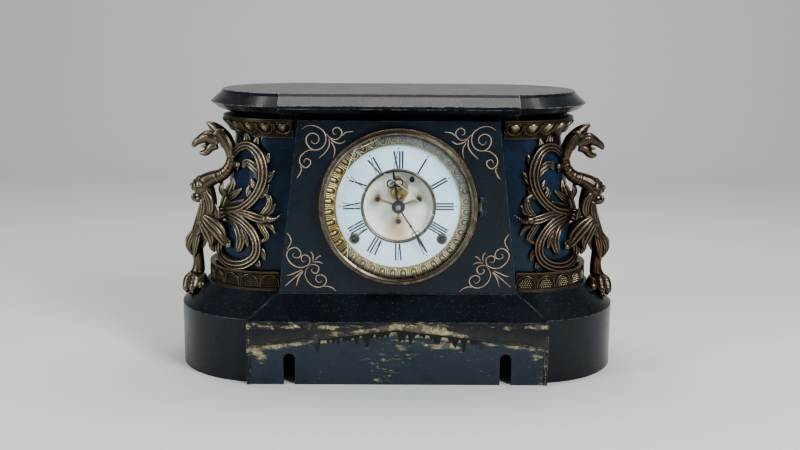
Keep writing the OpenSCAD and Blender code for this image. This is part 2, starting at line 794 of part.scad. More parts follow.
// A hand pointing up: hub, stem, cross-piece, a pair of loops and a lance
module hand2d(hub, hole, cross_at, loops_at, loop_r, loop_w, tip, half) {
    widest_at = loops_at + (tip - loops_at) * 0.3;
    difference() {
        union() {
            circle(r = hub);
            polygon([[-half, 0], [half, 0], [half * 0.8, loops_at], [-half * 0.8, loops_at]]);
            polygon([
                [0, cross_at - half * 1.4], [half * 2.6, cross_at],
                [0, cross_at + half * 1.4], [-half * 2.6, cross_at]
            ]);
            for (side = [-1, 1])
                translate([side * (loop_r - loop_w / 2), loops_at])
                    difference() {
                        circle(r = loop_r, $fn = 32);
                        circle(r = loop_r - loop_w, $fn = 32);
                    }
            polygon([
                [-half * 0.8, loops_at], [half * 0.8, loops_at], [half * 1.5, widest_at], [0, tip],
                [-half * 1.5, widest_at]
            ]);
        }
        circle(r = hole);
    }
}

module hour_hand() {
    color("#16181c")
    at_arbor(centre_p, hour_hand_y)
        rotate(8.4) linear_extrude(0.8) hand2d(6.4, hour_pipe_r + 0.02, 15.3, 23.5, 4.4, 1.3, hour_len, 1);
}

module minute_hand() {
    color("#16181c")
    at_arbor(centre_p, minute_hand_y)
        rotate(-146.9) linear_extrude(0.8) hand2d(4.4, cannon_r + 0.02, 22, 30.8, 2.3, 0.8, minute_len, 0.8);
}

module hand_pin() {
    color("#d8d8d8")
    at_arbor(centre_p, minute_hand_y - 1.3)
        linear_extrude(1.2)
            difference() {
                circle(r = 2.4, $fn = 32);
                circle(r = arbor_r + 0.02, $fn = 32);
            }
}

/* ---- Movement frame ---- */

pillar_places = [for (side = [-1, 1], z = [pillar_top, -pillar_low]) [side * pillar_x, z]];
arbor_back = back_plate_y + 0.8;
arbor_front = front_plate_y - plate_t - 0.8;

module plate2d() {
    half = plate_w / 2;
    difference() {
        polygon([
            [8 - half, -plate_low], [half - 8, -plate_low], [half, 8 - plate_low], [half, plate_top - 8],
            [half - 8, plate_top], [8 - half, plate_top], [-half, plate_top - 8], [-half, 8 - plate_low]
        ]);
        for (p = arbor_holes)
            translate(p) circle(r = arbor_r + running, $fn = 32);
        for (p = [time_p, strike_p, regulator_p])
            translate(p) circle(r = winding_r + running, $fn = 32);
        for (p = pillar_places)
            translate(p) circle(r = neck_r + 0.05, $fn = 32);
        for (side = [-1, 1])
            translate([side * 48, 14]) circle(r = 9);
    }
}

module front_plate() {
    color("#c2a05a") {
        at_arbor(centre_p, front_plate_y)
            linear_extrude(plate_t)
                difference() {
                    plate2d();
                    for (p = cock_feet)
                        translate(p) circle(r = cock_screw_r + 0.05, $fn = 32);
                }
        // Studs for the minute wheel, the count wheel and the lifting lever
        arbor(minute_p, front_plate_y - 1, hour_y - wheel_t - 1.2);
        arbor(count_p, front_plate_y - 1, count_y - wheel_t - 2.2);
        arbor(lever_p, front_plate_y - 1, lever_y - 2);
    }
}

module back_plate() {
    color("#c2a05a") at_arbor(centre_p, back_plate_y) linear_extrude(plate_t) plate2d();
}

module pillars() {
    color("#c2a05a")
    for (p = pillar_places) {
        arbor(p, back_plate_y + 5, back_plate_y - plate_t - 1, neck_r);
        arbor(p, back_plate_y - plate_t, front_plate_y, post_r);
        arbor(p, front_plate_y + 1, front_plate_y - plate_t - 1, neck_r);
        arbor(p, front_plate_y - plate_t, panel_y + panel_t, post_r);
    }
}

module plate_nuts() {
    color("#6b6b6b")
    for (p = pillar_places)
        at_arbor(p, back_plate_y + 3)
            linear_extrude(3)
                difference() {
                    circle(r = 4.5, $fn = 6);
                    circle(r = neck_r + 0.05, $fn = 32);
                }
}

/* ---- Time train ---- */

module great_wheel(place, facing) {
    side = place[0] < 0 ? -1 : 1;
    color("#c2a05a") {
        at_arbor(place, great_y)
            wheel(great_n, great_m, great_t, bearing(place, facing), winding_r + running);
        at_arbor(place, great_y) translate([-4 * side, 17, 0]) cylinder(r = 1.2, h = great_t + 2.4, $fn = 32);
    }
}

// The arbor that a key turns: round between the plates, square in front, with its ratchet wheel
module winding_arbor(place) {
    square_front = panel_y - 2.2;
    tooth = [[8.6, 0], [10, 0.85]];
    color("#8a8d90") {
        arbor(place, arbor_back, arbor_front, winding_r);
        at_arbor(place, arbor_front) translate([-1.4, -1.4, 0]) cube([2.8, 2.8, arbor_front - square_front]);
        at_arbor(place, great_y - great_t - 0.3)
            linear_extrude(2)
                polygon([for (i = [0 : 19], corner = tooth) polar(corner[0], 18 * (i + corner[1]))]);
    }
}

module click(place) {
    side = place[0] < 0 ? -1 : 1;
    stud = [-4 * side, 17];
    color("#8a8d90")
    at_arbor(place, great_y - great_t - 0.3)
        linear_extrude(1.8)
            difference() {
                union() {
                    bar(stud, [4.6 * side, 10.4], 1.8);
                    translate(stud) circle(r = 2.4, $fn = 32);
                }
                translate(stud) circle(r = 1.2 + running, $fn = 32);
            }
}

// An open spring: a strip that winds outwards at an even pitch
module spiral2d(r_in, r_out, pitch, t, steps = 24) {
    count = floor((r_out - r_in) / pitch * steps);
    function at(i, dr) = polar(r_in + pitch * i / steps + dr, 360 * i / steps);
    polygon(concat([for (i = [0 : count]) at(i, t / 2)], [for (i = [count : -1 : 0]) at(i, -t / 2)]));
}

module mainsprings() {
    color("#5a6470")
    for (p = [time_p, strike_p])
        at_arbor(p, spring_back) linear_extrude(spring_w) spiral2d(winding_r + 2, 20, 2.6, 0.5);
}

module second_wheel() {
    color("#c2a05a") {
        arbor(second_p, arbor_back, arbor_front);
        at_arbor(second_p, second_y) wheel(second_n, second_m, wheel_t, bearing(second_p, centre_p), 0);
        pinion(second_p, great_y, great_m, space_to(second_p, time_p, leaves), great_t);
    }
}

module centre_wheel() {
    color("#c2a05a") {
        arbor(centre_p, arbor_back, minute_hand_y - 3.8);
        at_arbor(centre_p, centre_y) wheel(centre_n, centre_m, wheel_t, bearing(centre_p, third_p), 0);
        pinion(centre_p, second_y, second_m, space_to(centre_p, second_p, leaves));
    }
}

module third_wheel() {
    color("#c2a05a") {
        arbor(third_p, arbor_back, arbor_front);
        at_arbor(third_p, third_y) wheel(third_n, third_m, wheel_t, bearing(third_p, escape_p), 0);
        pinion(third_p, centre_y, centre_m, space_to(third_p, centre_p, leaves));
    }
}

module escape_wheel() {
    step = 360 / escape_n;
    tooth = [[escape_r - 1.8, 0], [escape_r, 0.3], [escape_r - 1.8, 0.5]];
    color("#c9a95e") {
        arbor(escape_p, arbor_back, cock_y - cock_t + 0.2);
        pinion(escape_p, third_y, third_m, space_to(escape_p, third_p, leaves));
        at_arbor(escape_p, escape_y)
            linear_extrude(1.2)
                difference() {
                    polygon([
                        for (i = [0 : escape_n - 1], corner = tooth) polar(corner[0], step * (i + corner[1]))
                    ]);
                    for (a = [0 : 90 : 270])
                        translate(polar(4.4, a)) circle(r = 2, $fn = 32);
                }
    }
}

// Anchor with two pins that straddle the escape wheel, its arbor, and the crutch behind the plates
module pallets() {
    reach = escape_r + pallet_gap + pallet_pin_r;
    crutch_low = -12;
    color("#a88f5a") {
        arbor(pallet_p, crutch_y, cock_y - cock_t + 0.2);
        for (side = [-1, 1]) {
            pin = escape_p + [side * reach * sin(45), reach * cos(45)];
            at_arbor(centre_p, pallet_y) linear_extrude(1.2) bar(pallet_p, pin, 1.6);
            at_arbor(pin, escape_y + 0.4) cylinder(r = pallet_pin_r, h = escape_y - pallet_y + 0.5, $fn = 32);
            at_arbor([side * 2.3, crutch_low], swing_y + 2)
                translate([-0.5, -1, 0]) cube([1, 2, swing_y + 2.5 - crutch_y]);
        }
        at_arbor(centre_p, crutch_y) linear_extrude(1) union() {
            bar(pallet_p, [0, crutch_low], 2);
            bar([-2.3, crutch_low], [2.3, crutch_low], 2);
        }
    }
}

module escapement_cock() {
    color("#e0cfa0")
    difference() {
        union() {
            at_arbor(centre_p, cock_y)
                linear_extrude(cock_t) {
                    circle(r = 5.4);
                    for (p = cock_feet) {
                        bar(centre_p, p, 2.6);
                        translate(p) circle(r = 3.4);
                    }
                    bar([3, 3], [8.6, escape_p[1]], 2.4);
                    bar([8.6, escape_p[1]], escape_p, 2.2);
                    bar([8.6, escape_p[1]], [7.6, 22], 2.4);
                    bar([7.6, 22], pallet_p, 2.4);
                    translate(escape_p) circle(r = 2.2);
                    translate(pallet_p) circle(r = 2.8);
                }
            for (p = cock_feet)
                arbor(p, front_plate_y - plate_t, cock_y, cock_post_r);
        }
        at_arbor(centre_p, 0) cylinder(r = hour_pipe_r + 0.6, h = panel_out + 5);
        for (p = [escape_p, pallet_p])
            at_arbor(p, cock_y + 1) cylinder(r = arbor_r + running, h = 5, $fn = 32);
        for (p = cock_feet)
            at_arbor(p, 0) cylinder(r = cock_screw_r + 0.05, h = panel_out + 5, $fn = 32);
    }
}

module cock_screws() {
    head_y = cock_y - cock_t;
    color("#3a3f4a")
    for (p = cock_feet) {
        arbor(p, front_plate_y + 0.5, head_y - 0.5, cock_screw_r);
        at_arbor(p, head_y)
            difference() {
                cylinder(r = 2.3, h = 1, $fn = 32);
                translate([-3, -0.3, 0.6]) cube([6, 0.6, 1]);
            }
    }
}

/* ---- Motion work ---- */

module cannon_pinion() {
    color("#c2a05a")
    at_arbor(centre_p, motion_y + 0.6)
        difference() {
            union() {
                linear_extrude(wheel_t + 1.2)
                    pinion2d(cannon_n, cannon_m, space_to(centre_p, minute_p, cannon_n));
                cylinder(r = cannon_r, h = motion_y + 0.6 - minute_hand_y + 1.2, $fn = 32);
            }
            translate([0, 0, -1]) cylinder(r = arbor_r + 0.02, h = 60, $fn = 32);
        }
}

module minute_wheel() {
    color("#c2a05a")
    difference() {
        union() {
            at_arbor(minute_p, motion_y) wheel(minute_n, cannon_m, wheel_t, bearing(minute_p, centre_p), 0);
            arbor(minute_p, motion_y, hour_y, 1.8);
            at_arbor(minute_p, hour_y + 0.6)
                linear_extrude(wheel_t + 1.2)
                    pinion2d(minute_leaves, hour_m, space_to(minute_p, centre_p, minute_leaves));
        }
        at_arbor(minute_p, motion_y + 1) cylinder(r = minute_stud_r + running, h = 12, $fn = 32);
    }
}

module hour_wheel() {
    bore = cannon_r + running;
    color("#c2a05a")
    difference() {
        union() {
            at_arbor(centre_p, hour_y) wheel(hour_n, hour_m, wheel_t, bearing(centre_p, minute_p), 0);
            arbor(centre_p, hour_y, hour_hand_y - 0.9, hour_pipe_r);
        }
        at_arbor(centre_p, hour_y + 1) cylinder(r = bore, h = 40, $fn = 32);
    }
}

/* ---- Strike train ---- */

module pin_wheel() {
    color("#c2a05a") {
        arbor(pin_p, arbor_back, count_y - wheel_t - 0.8);
        at_arbor(pin_p, pin_y) wheel(second_n, second_m, wheel_t, bearing(pin_p, lock_p), 0);
        for (a = [0 : 45 : 315])
            at_arbor(pin_p + polar(20.8, a), pin_y - wheel_t + 0.4) cylinder(r = 0.6, h = 2.6, $fn = 32);
        pinion(pin_p, great_y, great_m, space_to(pin_p, strike_p, leaves), great_t);
        pinion(pin_p, count_y, count_m, space_to(pin_p, count_p, leaves));
    }
}

module locking_wheel() {
    color("#c2a05a") {
        arbor(lock_p, arbor_back, arbor_front);
        at_arbor(lock_p, lock_y) wheel(lock_n, lock_m, wheel_t, bearing(lock_p, warn_p), 0);
        pinion(lock_p, pin_y, second_m, space_to(lock_p, pin_p, leaves));
    }
}

module warning_wheel() {
    color("#c2a05a") {
        arbor(warn_p, arbor_back, arbor_front);
        at_arbor(warn_p, warn_y) wheel(warn_n, warn_m, wheel_t, bearing(warn_p, fly_p), 0);
        pinion(warn_p, lock_y, lock_m, space_to(warn_p, lock_p, leaves));
    }
}

module fly() {
    color("#c2a05a") {
        arbor(fly_p, arbor_back, arbor_front);
        pinion(fly_p, warn_y, warn_m, space_to(fly_p, warn_p, leaves));
        at_arbor(fly_p, warn_y - 4) translate([-11, -0.4, 0]) cube([22, 0.8, 10]);
    }
}

// Count wheel: a toothed wheel with a notched disc, one notch for each hour struck
module count_wheel() {
    color("#c2a05a")
    difference() {
        union() {
            at_arbor(count_p, count_y) wheel(count_n, count_m, wheel_t, bearing(count_p, pin_p), 0);
            at_arbor(count_p, count_y - wheel_t)
                linear_extrude(1.6)
                    difference() {
                        circle(r = 12.4);
                        // 78 blows in twelve hours: the notch after hour n comes after n (n + 1) / 2 of them
                        for (hour = [1 : 12])
                            rotate(360 * hour * (hour + 1) / 2 / 78) translate([10.6, -0.5]) square([3, 1]);
                        for (a = [45 : 90 : 315])
                            translate(polar(8.2, a)) circle(r = 2.4, $fn = 32);
                    }
        }
        at_arbor(count_p, count_y + 1) cylinder(r = arbor_r + running, h = 8, $fn = 32);
    }
}

module lifting_lever() {
    rest = count_p + polar(12.4 + 1.3, 158);
    color("#a88f5a")
    at_arbor(centre_p, lever_y)
        linear_extrude(1.2)
            difference() {
                union() {
                    bar(lever_p, rest, 2);
                    bar(lever_p, [-5.6, -2.2], 2);
                    translate(lever_p) circle(r = 2.6, $fn = 32);
                }
                translate(lever_p) circle(r = arbor_r + running, $fn = 32);
            }
}

module hammer() {
    head = [0, gong_z - dial_z] + polar(gong_r + gong_wire / 2 + 6, 190);
    head_back = gong_y + 4;
    tail = pin_p + polar(20.8 + 0.6 + 1.6, 151);
    color("#a88f5a") {
        arbor(hammer_p, gong_y - 6, arbor_front);
        at_arbor(centre_p, gong_y - 6) linear_extrude(2) bar(hammer_p, head, 3);
        at_arbor(head, head_back) cylinder(r = 4, h = 12, $fn = 32);
        at_arbor(centre_p, pin_y - wheel_t - 0.5) linear_extrude(2) bar(hammer_p, tail, 2);
    }
}

module gong() {
    color("#5a6470")
    at_arbor([0, gong_z - dial_z], gong_y)
        linear_extrude(gong_wire)
            difference() {
                spiral2d(6, gong_r, gong_pitch, gong_wire, 30);
                circle(r = gong_hub_r, $fn = 32);
            }
}

module gong_stand() {
    color("#1b1b1b") {
        translate([0, post_y, z_body]) cylinder(r = 12, h = 5);
        translate([0, post_y, z_body + 4]) cylinder(r = 4, h = gong_z - z_body - 4);
        at_arbor([0, gong_z - dial_z], post_y + 5)
            cylinder(r = gong_hub_r, h = post_y + 5 - gong_y + gong_wire + 1, $fn = 32);
    }
}

/* ---- Pendulum ---- */

module suspension_cock() {
    color("#c2a05a")
    difference() {
        union() {
            translate([-8, back_plate_y, swing_z + 6]) cube([16, 2, 8]);
            translate([-8, back_plate_y, swing_z + 7]) cube([16, 9, 2]);
        }
        translate([-1, back_plate_y + 2, swing_z + 5]) cube([2, 12, 6]);
    }
}

module regulator_arbor() {
    color("#3a3f4a") {
        arbor(regulator_p, arbor_back + 1, panel_y + well_floor - 4, winding_r);
        at_arbor(regulator_p, panel_y + well_floor - 4)
            difference() {
                cylinder(r = 2.5, h = 2, $fn = 32);
                translate([-0.7, -0.7, 1]) cube([1.4, 1.4, 2]);
            }
    }
}

module suspension_spring() {
    color("#8a8d90") {
        translate([-0.15, swing_y - 2.5, swing_z - 6]) cube([0.3, 5, 16]);
        translate([-1.8, swing_y - 3, swing_z + 9.3]) cube([3.6, 6, 3]);
    }
}

module pendulum_rod() {
    bottom = swing_z - pendulum_len - bob_r - 9;
    color("#8a8d90")
    difference() {
        union() {
            translate([-1.8, swing_y - 2.5, swing_z - 11]) cube([3.6, 5, 5]);
            translate([0, swing_y, bottom]) cylinder(r = rod_r, h = swing_z - 10.5 - bottom, $fn = 32);
        }
        translate([-0.15, swing_y - 2.6, swing_z - 6 - EPS]) cube([0.3, 5.2, 1]);
    }
}

module bob() {
    color("#c9a95e")
    difference() {
        translate([0, swing_y + 4, swing_z - pendulum_len])
            rotate([90, 0, 0])
                rotate_extrude()
                    polygon([
                        [0, 0], [bob_r - 6, 0.6], [bob_r - 1.5, 2.4], [bob_r, 3.4], [bob_r, 4.6],
                        [bob_r - 1.5, 5.6], [bob_r - 6, 7.4], [0, 8]
                    ]);
        translate([0, swing_y, swing_z - pendulum_len - bob_r - 5])
            cylinder(r = rod_r + running, h = 2 * bob_r + 10, $fn = 32);
    }
}

module rating_nut() {
    color("#c9a95e")
    translate([0, swing_y, swing_z - pendulum_len - bob_r - 4])
        difference() {
            cylinder(r = 4, h = 3, $fn = 32);
            translate([0, 0, -1]) cylinder(r = rod_r + running, h = 5, $fn = 32);
        }
}

base_casting();
body_casting();
front_panel();
top_slab();
capital(-1);  // capital_left
capital(1);  // capital_right
foot_ring(-1);  // ring_left
foot_ring(1);  // ring_right
griffin(-1);  // griffin_left
griffin(1);  // griffin_right
case_bolts();
bezel();
sash_ring();
glass();
bezel_hinge();
back_door();
door_knob();
dial_pan();
chapter_ring();
centre_ring();
winding_grommets();
hour_hand();
minute_hand();
hand_pin();
front_plate();
back_plate();
pillars();
plate_nuts();
great_wheel(time_p, second_p);  // time_great_wheel
winding_arbor(time_p);  // time_winding_arbor
click(time_p);  // time_click
mainsprings();
second_wheel();
centre_wheel();
third_wheel();
escape_wheel();
pallets();
escapement_cock();
cock_screws();
cannon_pinion();
minute_wheel();
hour_wheel();
great_wheel(strike_p, pin_p);  // strike_great_wheel
winding_arbor(strike_p);  // strike_winding_arbor
click(strike_p);  // strike_click
pin_wheel();
locking_wheel();
warning_wheel();
fly();
count_wheel();
lifting_lever();
hammer();
gong();
gong_stand();
suspension_cock();
regulator_arbor();
suspension_spring();
pendulum_rod();
bob();
rating_nut();
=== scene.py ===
# %% [markdown]
# # A mantel clock in a cast case
#
# This lesson dresses a mantel clock: a black enamelled iron case, bronze bands and griffins, an
# enamel dial with an open escapement, and a cracked glass. The shapes that carry load or move come
# from a CAD model, which is loaded first and never changed. Blender adds what casting, engraving,
# gilding and a century on a shelf have done to them.
#
# All lengths are metres in the CAD model's own frame: +X right, -Y front, +Z up, and the clock
# stands on z = 0.

# %% Load the clock
import math
import random

import bpy
from mathutils import Matrix, Vector, geometry, noise


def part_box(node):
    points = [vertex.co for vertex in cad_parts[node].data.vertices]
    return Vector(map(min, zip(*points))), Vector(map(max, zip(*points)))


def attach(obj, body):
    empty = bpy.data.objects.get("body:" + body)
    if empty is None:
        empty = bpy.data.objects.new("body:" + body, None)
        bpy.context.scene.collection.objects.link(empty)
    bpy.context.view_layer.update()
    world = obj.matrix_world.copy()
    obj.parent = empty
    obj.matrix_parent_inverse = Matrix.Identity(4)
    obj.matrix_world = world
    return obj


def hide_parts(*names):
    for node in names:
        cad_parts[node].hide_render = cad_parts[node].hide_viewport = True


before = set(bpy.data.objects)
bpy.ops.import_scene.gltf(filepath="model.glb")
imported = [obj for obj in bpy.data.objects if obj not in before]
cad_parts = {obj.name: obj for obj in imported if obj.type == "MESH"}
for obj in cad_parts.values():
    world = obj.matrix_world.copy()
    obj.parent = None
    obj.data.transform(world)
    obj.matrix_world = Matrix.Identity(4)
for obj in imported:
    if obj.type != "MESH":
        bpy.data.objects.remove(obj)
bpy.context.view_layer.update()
MM = 0.001

# %% [markdown]
# The dial's centre and the levels of the case are read from the CAD pieces, so that every added
# ornament follows the case if its sizes change.

# %% Places taken from the CAD pieces
chapter_low, chapter_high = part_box("chapter_ring")
panel_low, panel_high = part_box("front_panel")
lid_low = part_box("top_slab")[0]
body_low, body_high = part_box("body_casting")
base_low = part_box("base_casting")[0]
ring_low, ring_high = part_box("ring_right")
capital_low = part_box("capital_right")[0]
dial_z = (chapter_low[2] + chapter_high[2]) / 2
panel_y = panel_low[1]
enamel_y = chapter_low[1]
print("dial centre z %.4f, panel face y %.4f, enamel y %.4f" % (dial_z, panel_y, enamel_y))


def on_dial(x, up, out):
    """A place given in mm: right and up from the dial's centre, and out in front of the panel."""
    return Vector((x * MM, panel_y - out * MM, dial_z + up * MM))


# %% [markdown]
# ## Small helpers
#
# A mesh is built from lists of points and faces. Every new piece is given the body it rides on, the
# CAD nodes it stands for, and its finish, all in one call, so that nothing is forgotten.

# %% A helper that makes a piece
def piece(name, points, faces, material, body="case", replaces=(), smooth=True):
    """Makes a mesh object from points and faces and hangs it on a body of the clock."""
    mesh = bpy.data.meshes.new(name)
    mesh.from_pydata([tuple(p) for p in points], [], faces)
    mesh.validate()
    mesh.update()
    if smooth:
        mesh.shade_smooth()
    thing = bpy.data.objects.new(name, mesh)
    bpy.context.scene.collection.objects.link(thing)
    if material is not None:
        mesh.materials.append(material)
    if replaces:
        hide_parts(*replaces)
    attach(thing, body)
    return thing


# %% [markdown]
# Many ornaments are one small form repeated. `Form` collects points and faces, so that a row of a
# hundred beads is one mesh and one piece, as it is one casting on the real clock.

# %% A collector for repeated forms
class Form:
    def __init__(self):
        self.points = []
        self.faces = []

    def grid(self, rows, closed_u=False, closed_v=False):
        """Adds a sheet from rows of points; u runs along a row and v from row to row."""
        start, n = len(self.points), len(rows[0])
        for row in rows:
            self.points.extend(Vector(p) for p in row)
        for v in range(len(rows) - (0 if closed_v else 1)):
            for u in range(n - (0 if closed_u else 1)):
                a, b = v * n + u, v * n + (u + 1) % n
                c, d = ((v + 1) % len(rows)) * n + (u + 1) % n, ((v + 1) % len(rows)) * n + u
                self.faces.append((start + a, start + b, start + c, start + d))

    def cap(self, row, flip=False):
        """Closes an end with a fan round its middle."""
        start = len(self.points)
        middle = sum((Vector(p) for p in row), Vector()) / len(row)
        self.points.extend(Vector(p) for p in row)
        self.points.append(middle)
        for u in range(len(row)):
            a, b = start + u, start + (u + 1) % len(row)
            self.faces.append((b, a, start + len(row)) if flip else (a, b, start + len(row)))

    def tube(self, path, radii, sides=8, squash=1.0, up=Vector((0, -1, 0))):
        """Adds a closed tube along a path; squash flattens it along `up`."""
        rows = []
        for i, p in enumerate(path):
            ahead = path[min(i + 1, len(path) - 1)] - path[max(i - 1, 0)]
            ahead.normalize()
            side = ahead.cross(up).normalized()
            top = side.cross(ahead).normalized()
            r = radii[i]
            rows.append([
                p + side * (r * math.cos(a)) + top * (r * squash * math.sin(a))
                for a in (math.tau * k / sides for k in range(sides))
            ])
        self.grid(rows, closed_u=True)
        self.cap(rows[0], flip=True)
        self.cap(rows[-1])


def smooth_path(points, steps=6):
    """A smooth curve through the points (Catmull-Rom); works on vectors of any length."""
    points = [Vector(p) for p in points]
    ends = [points[0] * 2 - points[1]] + points + [points[-1] * 2 - points[-2]]
    out = []
    for i in range(1, len(ends) - 2):
        p0, p1, p2, p3 = ends[i - 1 : i + 3]
        for k in range(steps):
            t = k / steps
            out.append(0.5 * (
                2 * p1 + (p2 - p0) * t + (2 * p0 - 5 * p1 + 4 * p2 - p3) * t * t
                + (3 * p1 - p0 - 3 * p2 + p3) * t * t * t
            ))
    out.append(points[-1])
    return out


# %% [markdown]
# ## Floor, light and camera
#
# The clock stands on a plain pale floor that curves up behind it, as a studio's paper sweep
# does. Black gloss shows nothing but what it mirrors, so the lights are large and soft: one broad
# lamp high on the right, a weaker one on the left, and a strip from behind that draws the lid's
# edge.

# %% Floor and backdrop
def sweep():
    """A paper sweep: floor, a quarter bend and an upright part."""
    depth, bend, height, half = 1.2, 0.5, 2.4, 3.4
    profile = [(-3.2, 0.0), (depth, 0.0)]
    profile += [
        (depth + bend * math.sin(a), bend * (1 - math.cos(a)))
        for a in (math.pi / 2 * k / 16 for k in range(1, 17))
    ]
    profile.append((depth + bend, height))
    points = [(x, y, z) for y, z in profile for x in (-half, half)]
    faces = [(2 * i, 2 * i + 1, 2 * i + 3, 2 * i + 2) for i in range(len(profile) - 1)]
    mesh = bpy.data.meshes.new("paper_sweep")
    mesh.from_pydata(points, [], faces)
    mesh.shade_smooth()
    paper = bpy.data.objects.new("paper_sweep", mesh)
    bpy.context.scene.collection.objects.link(paper)
    return paper


paper = sweep()
print("paper sweep", [round(v, 2) for v in paper.dimensions])

# %% Lights
def soft_lamp(name, place, aim, width, height, watts, tint):
    lamp = bpy.data.lights.new(name, "AREA")
    lamp.shape, lamp.size, lamp.size_y = "RECTANGLE", width, height
    lamp.energy, lamp.color = watts, tint
    holder = bpy.data.objects.new(name, lamp)
    holder.location = place
    holder.rotation_euler = (Vector(aim) - Vector(place)).to_track_quat("-Z", "Y").to_euler()
    bpy.context.scene.collection.objects.link(holder)
    return holder


soft_lamp("window_right", (0.95, -1.15, 1.15), (0.0, 0.0, 0.14), 0.6, 0.8, 24, (0.92, 0.96, 1.0))
soft_lamp("lamp_left", (-1.3, -0.75, 0.7), (0.0, 0.0, 0.14), 0.35, 1.0, 10, (0.80, 0.90, 1.0))
soft_lamp("top_strip", (0.0, 0.35, 1.5), (0.0, 0.0, 0.2), 1.6, 0.5, 12, (1.0, 0.97, 0.92))
world = bpy.data.worlds.new("room")
bpy.context.scene.world = world
world.use_nodes = True
world.node_tree.nodes["Background"].inputs["Color"].default_value = (0.80, 0.84, 0.90, 1)
world.node_tree.nodes["Background"].inputs["Strength"].default_value = 0.22
bpy.context.scene.view_settings.view_transform = "AgX"
bpy.context.scene.view_settings.look = "AgX - Medium High Contrast"

# %% [markdown]
# The camera stands a little over a metre in front of the clock, slightly above the lid, and looks
# about eleven degrees down. Its right, up and forward directions are worked out from the three
# angles and become the columns of its matrix.

# %% Camera
def direction_frame(pitch, yaw, roll):
    forward = Vector((math.sin(yaw) * math.cos(pitch), math.cos(yaw) * math.cos(pitch), -math.sin(pitch)))
    right = Vector((math.cos(yaw), -math.sin(yaw), 0))
    up = right.cross(forward)
    tilted_right = right * math.cos(roll) + up * math.sin(roll)
    tilted_up = up * math.cos(roll) - right * math.sin(roll)
    return Matrix((tilted_right, tilted_up, -forward)).transposed()


camera_data = bpy.data.cameras.new("camera")
camera_data.sensor_fit, camera_data.sensor_width, camera_data.lens = "HORIZONTAL", 36, 50.37
camera_data.clip_start, camera_data.clip_end = 0.05, 20
camera = bpy.data.objects.new("camera", camera_data)
camera.matrix_world = Matrix.Translation((-0.00681, -1.13745, 0.3623)) @ direction_frame(
    math.radians(11.09), math.radians(0.46), math.radians(0.41)
).to_4x4()
bpy.context.scene.collection.objects.link(camera)
bpy.context.scene.camera = camera
print("camera", [round(v, 3) for v in camera.location], "lens", camera_data.lens)


# %% [markdown]
# ## Colours and nodes
#
# Colours are written as sRGB hex values, as on a paint chart, and one function turns them into the
# linear values that shaders use. One more function adds a node, sets it and links it; every material
# below is made with it.

# %% Two helpers for materials
def linear(colour):
    """'#rrggbb' to linear red, green, blue and alpha."""
    parts = [int(colour[i : i + 2], 16) / 255 for i in (1, 3, 5)]
    return tuple(c / 12.92 if c <= 0.04045 else ((c + 0.055) / 1.055) ** 2.4 for c in parts) + (1.0,)


def add(tree, kind, links=None, stops=None, **settings):
    """Adds a node. `links` maps a socket to a value or to another node's output, `stops` fills a ramp."""
    made = tree.nodes.new(kind)
    for name, value in settings.items():
        setattr(made, name, value)
    for socket, value in (links or {}).items():
        if isinstance(value, bpy.types.NodeSocket):
            tree.links.new(value, made.inputs[socket])
        else:
            made.inputs[socket].default_value = value
    if stops:
        ramp = made.color_ramp
        while len(ramp.elements) < len(stops):
            ramp.elements.new(0.5)
        for element, (at, shade) in zip(ramp.elements, stops):
            element.position = at
            element.color = linear(shade) if isinstance(shade, str) else (shade, shade, shade, 1)
    return made


def new_finish(name):
    """An empty material: its node tree and its Principled shader."""
    finish = bpy.data.materials.new(name)
    finish.use_nodes = True
    tree = finish.node_tree
    return finish, tree, tree.nodes["Principled BSDF"]


print("black enamel in linear light:", [round(v, 4) for v in linear("#10161d")])

# %% [markdown]
# Every finish is placed by the object's own coordinates, which here are the clock's own metres, so a
# stain can be put at a height on the case, and a grain size is a plain number: a noise scale of 1000
# makes features about a millimetre wide. Two patterns serve nearly every finish, so they come
# first: `grime` breaks a surface into soft patches, and `edge_wear` finds the sharp outer edges,
# where handling and dusting rub a finish through. The second compares the surface's own normal
# with a normal rounded over a small radius; the two differ only near an edge.

# %% Patterns shared by the finishes
def grime(tree, size_mm, detail=5.0, low=0.35, high=0.65, seed=0.0):
    """Soft patches about size_mm across, from 0 to 1."""
    place = add(tree, "ShaderNodeTexCoord").outputs["Object"]
    moved = add(tree, "ShaderNodeVectorMath", {0: place, 1: (seed, seed * 1.7, -seed)}, operation="ADD")
    cloud = add(tree, "ShaderNodeTexNoise", {
        "Vector": moved.outputs[0], "Scale": 1000 / size_mm, "Detail": detail, "Roughness": 0.6,
    })
    return add(tree, "ShaderNodeMapRange", {
        "Value": cloud.outputs[0], "From Min": low, "From Max": high,
    }).outputs[0]


def edge_wear(tree, radius_mm, sharpness=6.0):
    """1 along sharp edges and 0 on open faces."""
    rounded = add(tree, "ShaderNodeBevel", {"Radius": radius_mm * MM}, samples=4)
    plain = add(tree, "ShaderNodeNewGeometry")
    same = add(tree, "ShaderNodeVectorMath", {
        0: rounded.outputs[0], 1: plain.outputs["Normal"],
    }, operation="DOT_PRODUCT")
    gap = add(tree, "ShaderNodeMath", {0: 1.0, 1: same.outputs["Value"]}, operation="SUBTRACT")
    return add(tree, "ShaderNodeMath", {
        0: gap.outputs[0], 1: sharpness,
    }, operation="MULTIPLY", use_clamp=True).outputs[0]


def product(tree, *values):
    """Several values from 0 to 1 multiplied together."""
    total = values[0]
    for value in values[1:]:
        times = add(tree, "ShaderNodeMath", {0: total, 1: value}, operation="MULTIPLY", use_clamp=True)
        total = times.outputs[0]
    return total


def blend_in(tree, base, shade, amount):
    """Lays a colour over another where amount is 1."""
    return add(tree, "ShaderNodeMix", {
        0: amount, 6: base, 7: linear(shade) if isinstance(shade, str) else shade,
    }, data_type="RGBA").outputs[2]


print("patterns ready")
